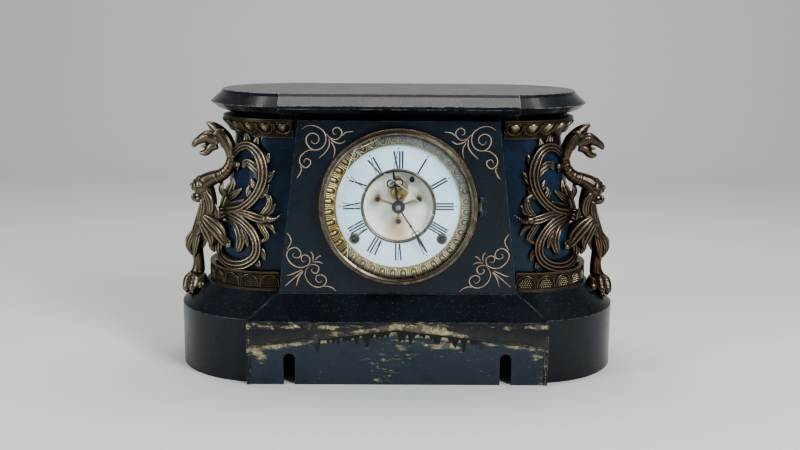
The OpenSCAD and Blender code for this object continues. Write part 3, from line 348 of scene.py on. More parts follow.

# %% [markdown]
# ## Black enamel on cast iron
#
# The case is cast iron, dipped in a black stoving enamel and rubbed down between coats to pass for
# polished stone. The enamel gives the eye a deep, slightly blue black with a clear gloss on top.
# A hundred years have left a bloom of dust on every upward face, dull patches, and pale chipped
# lines along the edges. The finish is a dark base under a clear coat; the dust follows the
# upward-facing normal, and the chips follow the edges. Soft patches of a lighter blue in the base
# colour are a painted sheen: a painted reflection of the room's light on the gloss.

# %% Enamel on the body, panel and lid
def black_enamel(name, shade, painted_sheen, dust, chip="#8d8f8c", chips=1.0):
    finish, tree, shader = new_finish(name)
    patches = grime(tree, 38, low=0.3, high=0.75)
    specks = grime(tree, 2.2, detail=3, low=0.60, high=0.66, seed=3.1)
    fine = grime(tree, 0.9, detail=4, low=0.2, high=0.8, seed=1.3)
    # Painted sheen: soft patches of a lighter blue in the base colour stand in for light reflected by the
    # gloss
    colour = blend_in(tree, linear(shade), painted_sheen, product(tree, patches, 0.75))
    up = add(tree, "ShaderNodeSeparateXYZ", {0: add(tree, "ShaderNodeNewGeometry").outputs["Normal"]})
    flat = add(tree, "ShaderNodeMapRange", {"Value": up.outputs["Z"], "From Min": 0.93, "From Max": 0.99})
    dusty = product(tree, flat.outputs[0], dust, add(tree, "ShaderNodeMapRange", {
        "Value": grime(tree, 22, low=0.2, high=0.7, seed=5.0), "To Min": 0.55,
    }).outputs[0])
    colour = blend_in(tree, colour, "#6c6a66", dusty)
    sloping = add(tree, "ShaderNodeMapRange", {
        "Value": up.outputs["Z"], "From Min": 0.25, "From Max": 0.6,
    }).outputs[0]
    colour = blend_in(tree, colour, "#77746a", product(tree, specks, add(tree, "ShaderNodeMapRange", {
        "Value": sloping, "To Min": 0.08, "To Max": 0.22,
    }).outputs[0]))
    rubbed = product(tree, edge_wear(tree, 1.1, 7.0), grime(tree, 7, low=0.42, high=0.62, seed=2.0), chips)
    colour = blend_in(tree, colour, chip, rubbed)
    rough = add(tree, "ShaderNodeMapRange", {
        "Value": patches, "To Min": 0.22, "To Max": 0.36,
    }).outputs[0]
    rough = add(tree, "ShaderNodeMath", {0: rough, 1: dusty}, operation="ADD", use_clamp=True).outputs[0]
    # The brushed-on coats leave ripples a few millimetres long and a fine dust grain
    ripple = grime(tree, 6, detail=2, low=0.0, high=1.0, seed=7.0)
    soft_edge = add(tree, "ShaderNodeBevel", {"Radius": 0.7 * MM}, samples=4)
    bumps = add(tree, "ShaderNodeBump", {
        "Height": ripple, "Distance": 0.00010, "Strength": 0.5, "Normal": soft_edge.outputs[0],
    })
    bumps = add(tree, "ShaderNodeBump", {
        "Height": fine, "Distance": 0.00003, "Strength": 0.35, "Normal": bumps.outputs[0],
    })
    tree.links.new(colour, shader.inputs["Base Color"])
    tree.links.new(rough, shader.inputs["Roughness"])
    tree.links.new(bumps.outputs[0], shader.inputs["Normal"])
    shader.inputs["Specular IOR Level"].default_value = 0.3
    shader.inputs["Coat Weight"].default_value = 0.25
    shader.inputs["Coat Roughness"].default_value = 0.1
    return finish


column_enamel = black_enamel("black_enamel_on_the_columns", "#0f1d2a", "#213c58", 0.5, chips=0.5)
panel_enamel = black_enamel("black_enamel_on_the_panel", "#0b141c", "#142836", 0.4, "#6f7f8c", 0.8)
lid_enamel = black_enamel("dusty_black_enamel_on_the_lid", "#0b1015", "#141c24", 0.9, "#a7adb0", 1.4)
print("case finishes:", column_enamel.name, panel_enamel.name, lid_enamel.name)

# %% [markdown]
# The base carries the same enamel, but its front was once picked out with gold bronze paint. What
# is left of the paint is a cream crust along the top of the front wall, along the low pediment line
# and on the two end strips, and old dark runs that drip below the line. The paint's place is given
# by heights on the casting: a height is compared with the pediment's own line, a straight fall
# from the middle to the ends.

# %% Enamel and flaking paint on the base
FRONT_FACE = base_low[1]
WALL_TOP, LINE_MIDDLE, LINE_ENDS = 0.0585, 0.0555, 0.0380
RECESS_HALF = 0.1425


def painted_base():
    finish = black_enamel(
        "black_enamel_and_flaking_paint_on_the_base", "#0a1016", "#111c26", 0.5, "#8f949a", 1.0,
    )
    tree = finish.node_tree
    shader = tree.nodes["Principled BSDF"]
    under = shader.inputs["Base Color"].links[0].from_socket
    worn_gloss = shader.inputs["Roughness"].links[0].from_socket
    place = add(tree, "ShaderNodeSeparateXYZ", {0: add(tree, "ShaderNodeTexCoord").outputs["Object"]})
    x, y, z = place.outputs
    across = add(tree, "ShaderNodeMath", {0: x}, operation="ABSOLUTE").outputs[0]
    front = add(tree, "ShaderNodeMapRange", {
        "Value": y, "From Min": FRONT_FACE + 0.0030, "From Max": FRONT_FACE + 0.0015,
    }).outputs[0]
    line = add(tree, "ShaderNodeMapRange", {
        "Value": across, "From Max": RECESS_HALF, "To Min": LINE_MIDDLE, "To Max": LINE_ENDS,
    }).outputs[0]
    above = add(tree, "ShaderNodeMath", {0: z, 1: line}, operation="SUBTRACT").outputs[0]
    # Where paint is likely, from 0 to 1: a thin rail just under the top edge, the strip along the
    # pediment line near the middle, its lower side further out, and the two end strips
    def near(value, middle, reach):
        away = add(tree, "ShaderNodeMath", {0: value, 1: middle}, operation="SUBTRACT").outputs[0]
        away = add(tree, "ShaderNodeMath", {0: away}, operation="ABSOLUTE").outputs[0]
        return add(tree, "ShaderNodeMapRange", {"Value": away, "From Min": reach, "From Max": 0.0}).outputs[0]

    def likeliest(*values):
        most = values[0]
        for value in values[1:]:
            most = add(tree, "ShaderNodeMath", {0: most, 1: value}, operation="MAXIMUM").outputs[0]
        return most

    inner = add(tree, "ShaderNodeMapRange", {"Value": across, "From Min": 0.11, "From Max": 0.06}).outputs[0]
    under_line = add(tree, "ShaderNodeMath", {0: above, 1: -0.0004}, operation="LESS_THAN").outputs[0]
    recess = product(tree, under_line, front, add(tree, "ShaderNodeMapRange", {
        "Value": across, "From Min": RECESS_HALF, "From Max": RECESS_HALF - 0.001,
    }).outputs[0])
    rail = product(tree, near(z, WALL_TOP, 0.0070), 0.62)
    above_line = product(tree, near(above, 0.0030, 0.0060), inner, 0.85)
    below_line = product(tree, near(above, -0.0030, 0.0060), 0.85)
    rows = product(tree, near(above, -0.0110, 0.0080), near(x, 0.050, 0.070), 0.80)
    strip = product(tree, near(across, RECESS_HALF + 0.0015, 0.0022), 0.55)
    corners = product(tree, near(across, 0.1340, 0.016), near(z, 0.0290, 0.018), 0.85)
    low = product(tree, recess, add(tree, "ShaderNodeMapRange", {
        "Value": x, "From Min": -0.14, "From Max": 0.14, "To Min": 0.16, "To Max": 0.34,
    }).outputs[0])
    region = likeliest(rail, above_line, below_line, rows, strip, corners, low)
    flakes = grime(tree, 9, detail=8, low=0.44, high=0.50, seed=11.0)
    streaky = add(tree, "ShaderNodeVectorMath", {
        0: add(tree, "ShaderNodeTexCoord").outputs["Object"], 1: (1.0, 1.0, 3.5),
    }, operation="MULTIPLY")
    smears = add(tree, "ShaderNodeTexNoise", {
        "Vector": streaky.outputs[0], "Scale": 85, "Detail": 10, "Roughness": 0.78,
    })
    clusters = grime(tree, 42, detail=2, low=0.36, high=0.62, seed=3.7)
    smears = add(tree, "ShaderNodeMath", {
        0: smears.outputs[0], 1: product(tree, region, 0.42),
    }, operation="ADD").outputs[0]
    smears = add(tree, "ShaderNodeMath", {
        0: smears, 1: product(tree, clusters, 0.13),
    }, operation="ADD").outputs[0]
    paint = add(tree, "ShaderNodeMapRange", {"Value": smears, "From Min": 0.78, "From Max": 0.86}).outputs[0]
    thinned = add(tree, "ShaderNodeMapRange", {"Value": flakes, "To Min": 0.25}).outputs[0]
    paint = product(tree, paint, front, thinned)
    # Runs of dark varnish hang below the line
    runs = add(tree, "ShaderNodeTexNoise", {"W": 0.0, "Scale": 120, "Detail": 1}, noise_dimensions="1D")
    tree.links.new(x, runs.inputs["W"])
    reach = add(tree, "ShaderNodeMapRange", {
        "Value": runs.outputs[0], "From Min": 0.42, "From Max": 0.7, "To Min": -0.002, "To Max": -0.014,
    }).outputs[0]
    hanging = add(tree, "ShaderNodeMath", {0: above, 1: reach}, operation="GREATER_THAN").outputs[0]
    below = add(tree, "ShaderNodeMath", {0: above, 1: -0.0006}, operation="LESS_THAN").outputs[0]
    middle = add(tree, "ShaderNodeMapRange", {
        "Value": across, "From Min": 0.09, "From Max": 0.075,
    }).outputs[0]
    run_mask = product(tree, hanging, below, front, middle)
    blotches = grime(tree, 16, low=0.3, high=0.6, seed=8.2)
    stained = product(tree, front, near(above, 0.004, 0.009), blotches, 0.45)
    # Painted reflection: the recess under the pediment line is lightened to a navy grey in soft patches,
    # standing in for light reflected by its gloss
    painted_recess_reflection = product(tree, recess, grime(tree, 24, low=0.1, high=0.5, seed=2.9))
    colour = blend_in(tree, under, "#27323c", painted_recess_reflection)
    colour = blend_in(tree, colour, "#4a4338", stained)
    colour = blend_in(tree, colour, "#8f8466", paint)
    cream = product(tree, paint, grime(tree, 3, low=0.5, high=0.7, seed=4.0))
    colour = blend_in(tree, colour, "#c4b994", cream)
    colour = blend_in(tree, colour, "#08090a", run_mask)
    rough = add(tree, "ShaderNodeMix", {0: paint, 2: worn_gloss, 3: 0.62}).outputs[0]
    rough = add(tree, "ShaderNodeMix", {0: run_mask, 2: rough, 3: 0.12}).outputs[0]
    crust = add(tree, "ShaderNodeMath", {0: paint, 1: run_mask}, operation="ADD").outputs[0]
    smooth_normal = shader.inputs["Normal"].links[0].from_socket
    raised = add(tree, "ShaderNodeBump", {
        "Height": crust, "Distance": 0.00025, "Strength": 0.8, "Normal": smooth_normal,
    })
    tree.links.new(colour, shader.inputs["Base Color"])
    tree.links.new(rough, shader.inputs["Roughness"])
    tree.links.new(raised.outputs[0], shader.inputs["Normal"])
    return finish


base_enamel = painted_base()
print("base finish:", len(base_enamel.node_tree.nodes), "nodes")

# %% [markdown]
# ## Bronze, brass and steel
#
# The griffins and the ornament bands are cast in a white metal and plated with bronze. The plate
# has gone brown in the hollows and is rubbed to a pale metal on the ridges, so the colour must
# follow the relief. Two measures do it: the mesh's own pointiness, which is high on ridges, and
# ambient occlusion, which is low in hollows. The right-hand casting has kept more copper.

# %% Bronze plate
def bronze_plate(name, hollow, body, ridge, copper, copper_share, reach=0.006, cast=True):
    finish, tree, shader = new_finish(name)
    shape = add(tree, "ShaderNodeNewGeometry")
    if cast:
        ridges = add(tree, "ShaderNodeMapRange", {
            "Value": shape.outputs["Pointiness"], "From Min": 0.50, "From Max": 0.58,
        }).outputs[0]
    else:
        # A turned band has few points to measure, so its ridges are found as sharp edges
        ridges = edge_wear(tree, 0.7, 4.0)
    hollows = add(tree, "ShaderNodeAmbientOcclusion", {"Distance": reach}, samples=8)
    open_part = add(tree, "ShaderNodeMapRange", {
        "Value": hollows.outputs["AO"], "From Min": 0.3, "From Max": 0.92,
    }).outputs[0]
    patches = grime(tree, 14, detail=6, low=0.40, high=0.62, seed=2.4)
    fine = grime(tree, 1.5, detail=5, low=0.25, high=0.75, seed=9.0)
    colour = blend_in(tree, linear(body), copper, product(tree, patches, copper_share))
    colour = blend_in(tree, colour, hollow, product(tree, fine, 0.35))
    colour = add(tree, "ShaderNodeMix", {
        0: open_part, 6: linear(hollow), 7: colour,
    }, data_type="RGBA").outputs[2]
    colour = blend_in(tree, colour, ridge, product(tree, ridges, open_part, 0.85))
    rough = add(tree, "ShaderNodeMapRange", {"Value": fine, "To Min": 0.26, "To Max": 0.42}).outputs[0]
    dull = add(tree, "ShaderNodeMapRange", {"Value": open_part, "To Min": 0.30, "To Max": 0.0}).outputs[0]
    rough = add(tree, "ShaderNodeMath", {0: rough, 1: dull}, operation="ADD", use_clamp=True).outputs[0]
    bumps = add(tree, "ShaderNodeBump", {"Height": fine, "Distance": 0.00006, "Strength": 0.5})
    tree.links.new(colour, shader.inputs["Base Color"])
    tree.links.new(rough, shader.inputs["Roughness"])
    tree.links.new(bumps.outputs[0], shader.inputs["Normal"])
    shader.inputs["Metallic"].default_value = 1.0
    return finish


bronze_left = bronze_plate("bronze_plate_pale", "#1a150f", "#655b4a", "#ded3ba", "#5e4a38", 0.45)
bronze_right = bronze_plate("bronze_plate_brown", "#130f0b", "#4a4238", "#bfb39d", "#552e24", 0.6)
bronze_bands = bronze_plate(
    "bronze_plate_on_the_bands", "#15120d", "#4b4438", "#c9bc9a", "#5d5136", 0.5, 0.006, cast=False,
)
bronze_ornament = bronze_plate(
    "bronze_plate_on_the_ornament", "#15120d", "#6a6150", "#d2c6a4", "#6f6040", 0.4, 0.003,
)
print("bronze:", bronze_left.name, bronze_right.name, bronze_bands.name)

# %% [markdown]
# Brass and steel pieces are turned, rolled or cut, and the tool leaves fine parallel lines. The
# function below is the metal of every such piece; it stretches a noise along one axis for the
# lines and adds tarnish in soft patches. The lines are drawn about 0.3 mm apart, coarser than real
# ones, so that they show.

# %% Rolled and turned metals
def worked_metal(name, clean, tarnish, share, smoothness, lines=(1, 1, 14), scratch=0.35, patch_mm=9):
    finish, tree, shader = new_finish(name)
    place = add(tree, "ShaderNodeTexCoord").outputs["Object"]
    stretched = add(tree, "ShaderNodeVectorMath", {0: place, 1: lines}, operation="MULTIPLY")
    grain = add(tree, "ShaderNodeTexNoise", {"Vector": stretched.outputs[0], "Scale": 240, "Detail": 3})
    patches = grime(tree, patch_mm, detail=6, low=0.36, high=0.68, seed=6.0)
    colour = blend_in(tree, linear(clean), tarnish, product(tree, patches, share))
    rough = add(tree, "ShaderNodeMapRange", {
        "Value": patches, "To Min": smoothness, "To Max": min(1.0, smoothness + 0.18),
    }).outputs[0]
    soft_edge = add(tree, "ShaderNodeBevel", {"Radius": 0.25 * MM}, samples=4)
    bumps = add(tree, "ShaderNodeBump", {
        "Height": grain.outputs[0], "Distance": 0.00002, "Strength": scratch, "Normal": soft_edge.outputs[0],
    })
    tree.links.new(colour, shader.inputs["Base Color"])
    tree.links.new(rough, shader.inputs["Roughness"])
    tree.links.new(bumps.outputs[0], shader.inputs["Normal"])
    shader.inputs["Metallic"].default_value = 1.0
    return finish


bezel_brass = worked_metal("spun_brass_of_the_bezel", "#8c8272", "#4e463c", 0.85, 0.26, (1, 1, 1), 0.15)
cock_brass = worked_metal("lacquered_brass_of_the_cock", "#c4a878", "#8a6c44", 0.6, 0.42)
gilt_brass = bronze_plate("gilt_stamped_brass", "#32260f", "#c2ad72", "#f6ecca", "#8a7240", 0.4, 0.0026)
plate_brass = worked_metal("rolled_brass_of_the_movement", "#c9a75c", "#8a6a34", 0.7, 0.30)
work_steel = worked_metal("cut_steel_of_the_wheels", "#9a9a98", "#5b5652", 0.6, 0.28)
bright_steel = worked_metal("polished_steel", "#c4c6c8", "#8a8884", 0.4, 0.18)
blued_steel = worked_metal("blued_steel", "#3d4656", "#272c36", 0.6, 0.30)
bolt_steel = worked_metal("oiled_bolt_steel", "#4c4c4e", "#2b2724", 0.8, 0.42)
print("metals:", len(bpy.data.materials))

# %% [markdown]
# ## Dial finishes
#
# The chapter ring is vitreous enamel: powdered glass melted onto a copper disc. It is smooth,
# slightly blue white and shines through a glassy top layer. The pan behind it is only painted and
# has yellowed, with a warm oil stain under the lowest screw. The hands are steel, blackened in oil.

# %% Enamel, paint and black
def glassy_enamel():
    finish, tree, shader = new_finish("white_vitreous_enamel")
    clouds = grime(tree, 30, detail=3, low=0.3, high=0.7, seed=8.0)
    colour = blend_in(tree, linear("#e2f5fa"), "#d3ecf3", clouds)
    specks = grime(tree, 5, detail=6, low=0.60, high=0.80, seed=1.1)
    colour = blend_in(tree, colour, "#b8bcae", product(tree, specks, 0.4))
    tree.links.new(colour, shader.inputs["Base Color"])
    shader.inputs["Roughness"].default_value = 0.22
    shader.inputs["Coat Weight"].default_value = 0.5
    shader.inputs["Coat Roughness"].default_value = 0.05
    waves = add(tree, "ShaderNodeBump", {
        "Height": grime(tree, 16, detail=2, low=0, high=1, seed=3.0), "Distance": 0.0001, "Strength": 0.3,
    })
    tree.links.new(waves.outputs[0], shader.inputs["Normal"])
    return finish


def yellowed_paint():
    finish, tree, shader = new_finish("yellowed_paint_of_the_dial_pan")
    place = add(tree, "ShaderNodeTexCoord").outputs["Object"]
    stain = add(tree, "ShaderNodeVectorMath", {
        0: place, 1: tuple(on_dial(0, -26, -6.8)),
    }, operation="DISTANCE")
    stain = add(tree, "ShaderNodeMapRange", {
        "Value": stain.outputs["Value"], "From Min": 0.017, "From Max": 0.003,
    }).outputs[0]
    screws = None
    for x, up in ((20, 6.9), (-20, 6.9), (0, -14.8)):
        spot = add(tree, "ShaderNodeVectorMath", {
            0: place, 1: tuple(on_dial(x, up, -6.8)),
        }, operation="DISTANCE")
        spot = add(tree, "ShaderNodeMapRange", {
            "Value": spot.outputs["Value"], "From Min": 0.009, "From Max": 0.003,
        }).outputs[0]
        if screws is None:
            screws = spot
        else:
            screws = add(tree, "ShaderNodeMath", {0: screws, 1: spot}, operation="MAXIMUM").outputs[0]
    mottle = grime(tree, 8, detail=6, low=0.35, high=0.7, seed=2.0)
    colour = blend_in(tree, linear("#f4f4ea"), "#e8e6d6", mottle)
    colour = blend_in(tree, colour, "#d0a468", product(tree, stain, 0.9))
    colour = blend_in(tree, colour, "#b89a74", product(tree, screws, 0.7))
    specks = grime(tree, 2, low=0.66, high=0.74, seed=5.5)
    colour = blend_in(tree, colour, "#7c7466", product(tree, specks, 0.4))
    tree.links.new(colour, shader.inputs["Base Color"])
    shader.inputs["Roughness"].default_value = 0.45
    grain = add(tree, "ShaderNodeBump", {
        "Height": grime(tree, 1.2, seed=4.4), "Distance": 0.00004, "Strength": 0.5,
    })
    tree.links.new(grain.outputs[0], shader.inputs["Normal"])
    return finish


def oil_black(name, shade, smoothness):
    finish, tree, shader = new_finish(name)
    worn = grime(tree, 3, low=0.45, high=0.75, seed=1.9)
    colour = blend_in(tree, linear(shade), "#5a5046", product(tree, worn, 0.35))
    tree.links.new(colour, shader.inputs["Base Color"])
    shader.inputs["Roughness"].default_value = smoothness
    shader.inputs["Metallic"].default_value = 0.3
    grain = add(tree, "ShaderNodeBump", {
        "Height": grime(tree, 0.8, seed=4.0), "Distance": 0.00003, "Strength": 0.4,
    })
    tree.links.new(grain.outputs[0], shader.inputs["Normal"])
    return finish


def drawn_glass():
    """Old window glass: clear, with a grey haze near the rim at the upper right, a painted reflection."""
    finish, tree, shader = new_finish("old_domed_window_glass")
    shader.inputs["Base Color"].default_value = linear("#f6fbfd")
    shader.inputs["Transmission Weight"].default_value = 1.0
    shader.inputs["IOR"].default_value = 1.5
    shader.inputs["Roughness"].default_value = 0.02
    place = add(tree, "ShaderNodeTexCoord").outputs["Object"]
    from_centre = add(tree, "ShaderNodeVectorMath", {
        0: place, 1: tuple(on_dial(0, 0, 12)),
    }, operation="DISTANCE").outputs["Value"]
    rim = add(tree, "ShaderNodeMapRange", {
        "Value": from_centre, "From Min": 0.0575, "From Max": 0.0665,
    }).outputs[0]
    from_corner = add(tree, "ShaderNodeVectorMath", {
        0: place, 1: tuple(on_dial(42, 52, 10)),
    }, operation="DISTANCE").outputs["Value"]
    corner = add(tree, "ShaderNodeMapRange", {
        "Value": from_corner, "From Min": 0.078, "From Max": 0.030,
    }).outputs[0]
    uneven = add(tree, "ShaderNodeMapRange", {
        "Value": grime(tree, 10, detail=6, low=0.25, high=0.7, seed=6.6), "To Min": 0.45,
    }).outputs[0]
    # Painted reflection: a grey haze mixed over the glass near the rim, only towards the upper right
    painted_haze = product(tree, rim, corner, uneven)
    painted_haze = add(tree, "ShaderNodeMath", {0: painted_haze, 1: 0.62}, operation="MULTIPLY", use_clamp=True).outputs[0]
    # Grey diffuse colour of the painted reflection haze
    dust = add(tree, "ShaderNodeBsdfDiffuse", {"Color": linear("#7c7f80")})
    clear = add(tree, "ShaderNodeBsdfTransparent")
    # Lamps shine straight through a thin pane, so shadow rays are let through
    shadow = add(tree, "ShaderNodeLightPath").outputs["Is Shadow Ray"]
    pane = add(tree, "ShaderNodeMixShader", {0: painted_haze, 1: shader.outputs[0], 2: dust.outputs[0]})
    whole = add(tree, "ShaderNodeMixShader", {0: shadow, 1: pane.outputs[0], 2: clear.outputs[0]})
    tree.links.new(whole.outputs[0], tree.nodes["Material Output"].inputs["Surface"])
    return finish


def painted_crack_glint():
    """Painted glint of a crack: nearly white and slightly rough, standing in for the light its walls throw
    back.
    """
    finish, tree, shader = new_finish("painted_glint_of_the_cracks")
    colour = blend_in(tree, linear("#e8eef0"), "#a9b6bc", grime(tree, 5, low=0.4, high=0.7, seed=2.2))
    tree.links.new(colour, shader.inputs["Base Color"])
    shader.inputs["Roughness"].default_value = 0.3
    return finish


dial_enamel = glassy_enamel()
pan_paint = yellowed_paint()
hand_black = oil_black("oil_blackened_steel", "#15171b", 0.38)
numeral_black = oil_black("fired_black_of_the_numerals", "#16212e", 0.35)
door_black = oil_black("stove_black_on_the_door", "#101112", 0.5)
faded_marks = oil_black("faded_fired_grey_of_the_minutes", "#7d929b", 0.4)
window_glass = drawn_glass()
# The white of the crack tracks is a painted glint of the light that the crack walls throw back
glint_white = painted_crack_glint()
print("dial finishes ready; materials:", len(bpy.data.materials))

# %% [markdown]
# The sweep is heavy matt paper: nearly white, with a faint tooth.

# %% Paper of the sweep
paper_finish, paper_tree, paper_shader = new_finish("matt_white_paper")
tooth = grime(paper_tree, 1.5, low=0.2, high=0.8)
paper_colour = blend_in(paper_tree, linear("#dcdcd8"), "#e4e4e0", tooth)
paper_tree.links.new(paper_colour, paper_shader.inputs["Base Color"])
paper_shader.inputs["Roughness"].default_value = 0.9
paper.data.materials.append(paper_finish)
print("paper:", paper_finish.name)

# %% [markdown]
# ## Finishes on the CAD pieces
#
# Most CAD pieces have their true shape already. Each is given its finish by name; the table below
# is the clock's parts list, sorted by what the part is made of.

# %% Give the CAD pieces their finish
finishes = {
    "base_casting": base_enamel,
    "body_casting": column_enamel,
    "front_panel": panel_enamel,
    "top_slab": lid_enamel,
    "case_bolts": bolt_steel,
    "bezel": bezel_brass,
    "bezel_hinge": panel_enamel,
    "sash_ring": gilt_brass,
    "glass": window_glass,
    "back_door": door_black,
    "door_knob": bezel_brass,
    "dial_pan": pan_paint,
    "chapter_ring": dial_enamel,
    "centre_ring": bezel_brass,
    "winding_grommets": bezel_brass,
    "hour_hand": hand_black,
    "minute_hand": hand_black,
    "hand_pin": bright_steel,
    "escapement_cock": cock_brass,
    "cock_screws": blued_steel,
    "regulator_arbor": blued_steel,
    "escape_wheel": plate_brass,
    "pallets": work_steel,
    "time_winding_arbor": bolt_steel,
    "strike_winding_arbor": bolt_steel,
}
for name in ("capital_left", "capital_right", "ring_left", "ring_right"):
    finishes[name] = bronze_bands
finishes["griffin_left"] = bronze_left
finishes["griffin_right"] = bronze_right
for name in (
    "time_click", "strike_click", "mainsprings",
    "hammer", "lifting_lever", "gong", "suspension_spring", "pendulum_rod",
):
    finishes[name] = work_steel
for name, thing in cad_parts.items():
    thing.data.materials.clear()
    thing.data.materials.append(finishes.get(name, plate_brass))
print("finishes given:", len(finishes), "of", len(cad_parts), "- the rest are brass")

# %% [markdown]
# ## Engraving on the panel
#
# The four corners of the panel carry incised scrolls, filled with a pinkish gilt. An engraver cuts
# each scroll in one sweep, pressing harder in the middle of a stroke, so a line starts thin, swells
# and ends in a point or a small round eye. Each stroke here is a list of points in millimetres from
# the panel's corner; it is smoothed to a curve, and a narrow ribbon with a swelling width follows
# it. The right-hand scrolls mirror the left-hand ones.

# %% Scrolls of the top corners, in mm from the panel's top corner
top_scroll = [
    [
        (3.9, 8.6), (8.2, 5.6), (13.2, 4.6), (18.0, 5.6), (21.5, 7.4), (24.8, 10.2), (26.6, 13.9),
        (26.9, 19.4), (24.2, 25.0), (18.7, 28.0), (13.1, 27.2), (9.4, 23.1), (8.1, 18.5),
        (9.9, 13.9), (15.0, 12.0), (19.6, 14.8), (20.1, 19.4), (16.4, 22.2), (13.2, 20.3),
        (13.7, 18.5),
    ],
    [
        (16.4, 28.2), (9.9, 28.6), (3.9, 32.8), (1.6, 37.9), (3.0, 42.5), (7.6, 45.3), (11.8, 42.0),
        (11.8, 38.3), (8.1, 36.5), (6.0, 38.8), (6.2, 40.4),
    ],
    [(2.3, 43.9), (3.5, 46.7), (1.6, 51.7), (-1.2, 55.4)],
    [
        (27.0, 12.5), (31.6, 16.6), (36.7, 18.0), (40.9, 15.2), (42.3, 11.1), (40.0, 7.4),
        (36.7, 6.5), (33.7, 9.0), (34.4, 12.5), (36.7, 12.9),
    ],
    [(42.3, 14.3), (46.4, 11.1), (53.0, 10.2)],
    [(30.7, 16.6), (34.4, 19.9), (40.9, 21.7), (46.0, 18.9)],
    [(29.8, 17.1), (30.3, 23.1), (27.0, 29.6), (20.1, 36.0)],
    [(32.1, 20.3), (34.9, 25.4), (35.3, 30.5), (33.9, 36.0)],
]
# %% Scrolls of the bottom corners, in mm from the panel's bottom corner
bottom_scroll = [
    [(8.6, 59.7), (11.6, 55.8), (12.5, 50.6), (8.6, 43.7)],
    [
        (16.3, 40.3), (14.2, 39.0), (14.6, 36.4), (17.6, 35.1), (21.1, 36.4), (21.9, 39.9),
        (19.8, 43.7), (15.5, 45.5), (10.7, 43.3), (8.1, 39.0), (9.0, 34.3), (12.0, 29.9),
        (16.8, 26.5), (21.9, 25.6), (26.7, 26.9), (30.1, 29.9), (30.6, 34.3), (28.4, 37.3),
        (25.0, 38.1), (22.4, 36.0), (22.4, 33.0), (24.5, 31.3), (26.7, 32.5),
    ],
    [
        (29.7, 27.8), (34.0, 28.7), (38.4, 26.9), (39.2, 23.5), (37.1, 20.0), (33.6, 20.5),
        (31.9, 23.1), (33.6, 24.8),
    ],
    [
        (30.1, 27.8), (27.1, 23.5), (25.8, 19.2), (26.7, 14.9), (29.3, 10.6), (33.6, 7.1),
        (38.8, 5.8), (43.9, 7.5), (46.5, 11.9), (45.2, 16.2), (41.4, 18.3), (37.5, 17.5),
        (36.2, 14.4), (37.9, 11.4), (40.5, 10.6), (42.2, 13.1),
    ],
    [(43.9, 6.7), (48.2, 6.7), (52.5, 5.0), (56.0, 2.0)],
    [(31.4, 41.4), (33.6, 38.1), (33.6, 31.7)],
    [(35.7, 33.0), (37.9, 35.6), (40.5, 37.3), (41.3, 36.4)],
    [(33.6, 30.8), (38.8, 31.3), (43.1, 29.5)],
    [(22.8, 23.1), (16.8, 20.5), (11.6, 18.1), (7.7, 17.7)],
    [(23.7, 22.2), (14.6, 14.4), (6.0, 6.7)],
    [(23.7, 21.3), (19.4, 14.9), (17.2, 7.1)],
]

FOOT_HALF = panel_high[0]
HEAD_HALF = 0.0965


def engrave(form, stroke_points, side, top, width=0.62):
    path = smooth_path([(x, d, 0) for x, d in stroke_points], 5)
    n = len(path)
    rows = []
    for i, p in enumerate(path):
        ahead = path[min(i + 1, n - 1)] - path[max(i - 1, 0)]
        across = Vector((-ahead.y, ahead.x, 0)).normalized()
        press = math.sin(math.pi * min(1.0, (i + 1.5) / (n + 1))) ** 0.45
        row = []
        for u, lift_up in ((-1, -0.02), (-0.45, 0.10), (0.45, 0.10), (1, -0.02)):
            q = p + across * (u * width * press)
            x = -HEAD_HALF + q.x * MM if top else -FOOT_HALF + q.x * MM
            z = panel_high[2] - q.y * MM if top else panel_low[2] + q.y * MM
            row.append(Vector((side * -x, panel_y - lift_up * MM, z)))
        rows.append(row)
    form.grid(rows, closed_u=True)
    form.cap(rows[0], flip=side < 0)
    form.cap(rows[-1], flip=side > 0)


scrolls = Form()
for side in (-1, 1):
    for line in top_scroll:
        engrave(scrolls, line, side, True)
    for line in bottom_scroll:
        engrave(scrolls, line, side, False)
engraved_gilt = worked_metal("pink_gilt_in_the_engraving", "#d3bba4", "#8f7660", 0.8, 0.45, (1, 1, 1), 0.2, 6)
engraved_gilt.node_tree.nodes["Principled BSDF"].inputs["Metallic"].default_value = 0.35
piece("panel_engraving", scrolls.points, scrolls.faces, engraved_gilt)
print("engraving: %d strokes" % (2 * (len(top_scroll) + len(bottom_scroll))))

# %% [markdown]
# ## Ornament bands
#
# Four bronze bands hold the columns. The upper ones carry egg and dart: round eggs, each in its own
# shell, with a dart between neighbours. The lower ones carry round-headed arches over a field of
# small pearls. Both run round the column's half-circle, so one function turns a distance along the
# band and an offset out of it into a place; the same ornament is then written once, as if the band
# were straight.

# %% A place on a curved band
def band_place(side, centre_x, radius, start_x, s, out, z):
    """s mm along the band from its front end, out mm beyond radius, z metres."""
    straight = centre_x - start_x
    r = radius + out * MM
    along = s * MM
    if along < straight:
        x, y = start_x + along, -r
    else:
        a = (along - straight) / radius
        x, y = centre_x + r * math.sin(a), -r * math.cos(a)
    return Vector((side * x, y, z))


CAPITAL_CX = 0.112
capital_start = capital_low[0]
RING_R = ring_high[1]
RING_CX = ring_high[0] - RING_R
ring_start = ring_low[0]
# The capital's own outline: radius about its centre, in mm, at heights above its lower edge
CAPITAL_OUTLINE = ((0, 54), (3.5, 54), (5, 57.5), (8, 59), (13.5, 64), (16, 65))


def capital_r(h):
    for (h0, r0), (h1, r1) in zip(CAPITAL_OUTLINE, CAPITAL_OUTLINE[1:]):
        if h <= h1:
            return r0 + (r1 - r0) * (h - h0) / (h1 - h0)
    return CAPITAL_OUTLINE[-1][1]


print("ring r %.4f centre %.4f" % (RING_R, RING_CX))

# %% Eggs, shells and darts under the lid
ARC_R = 60.0


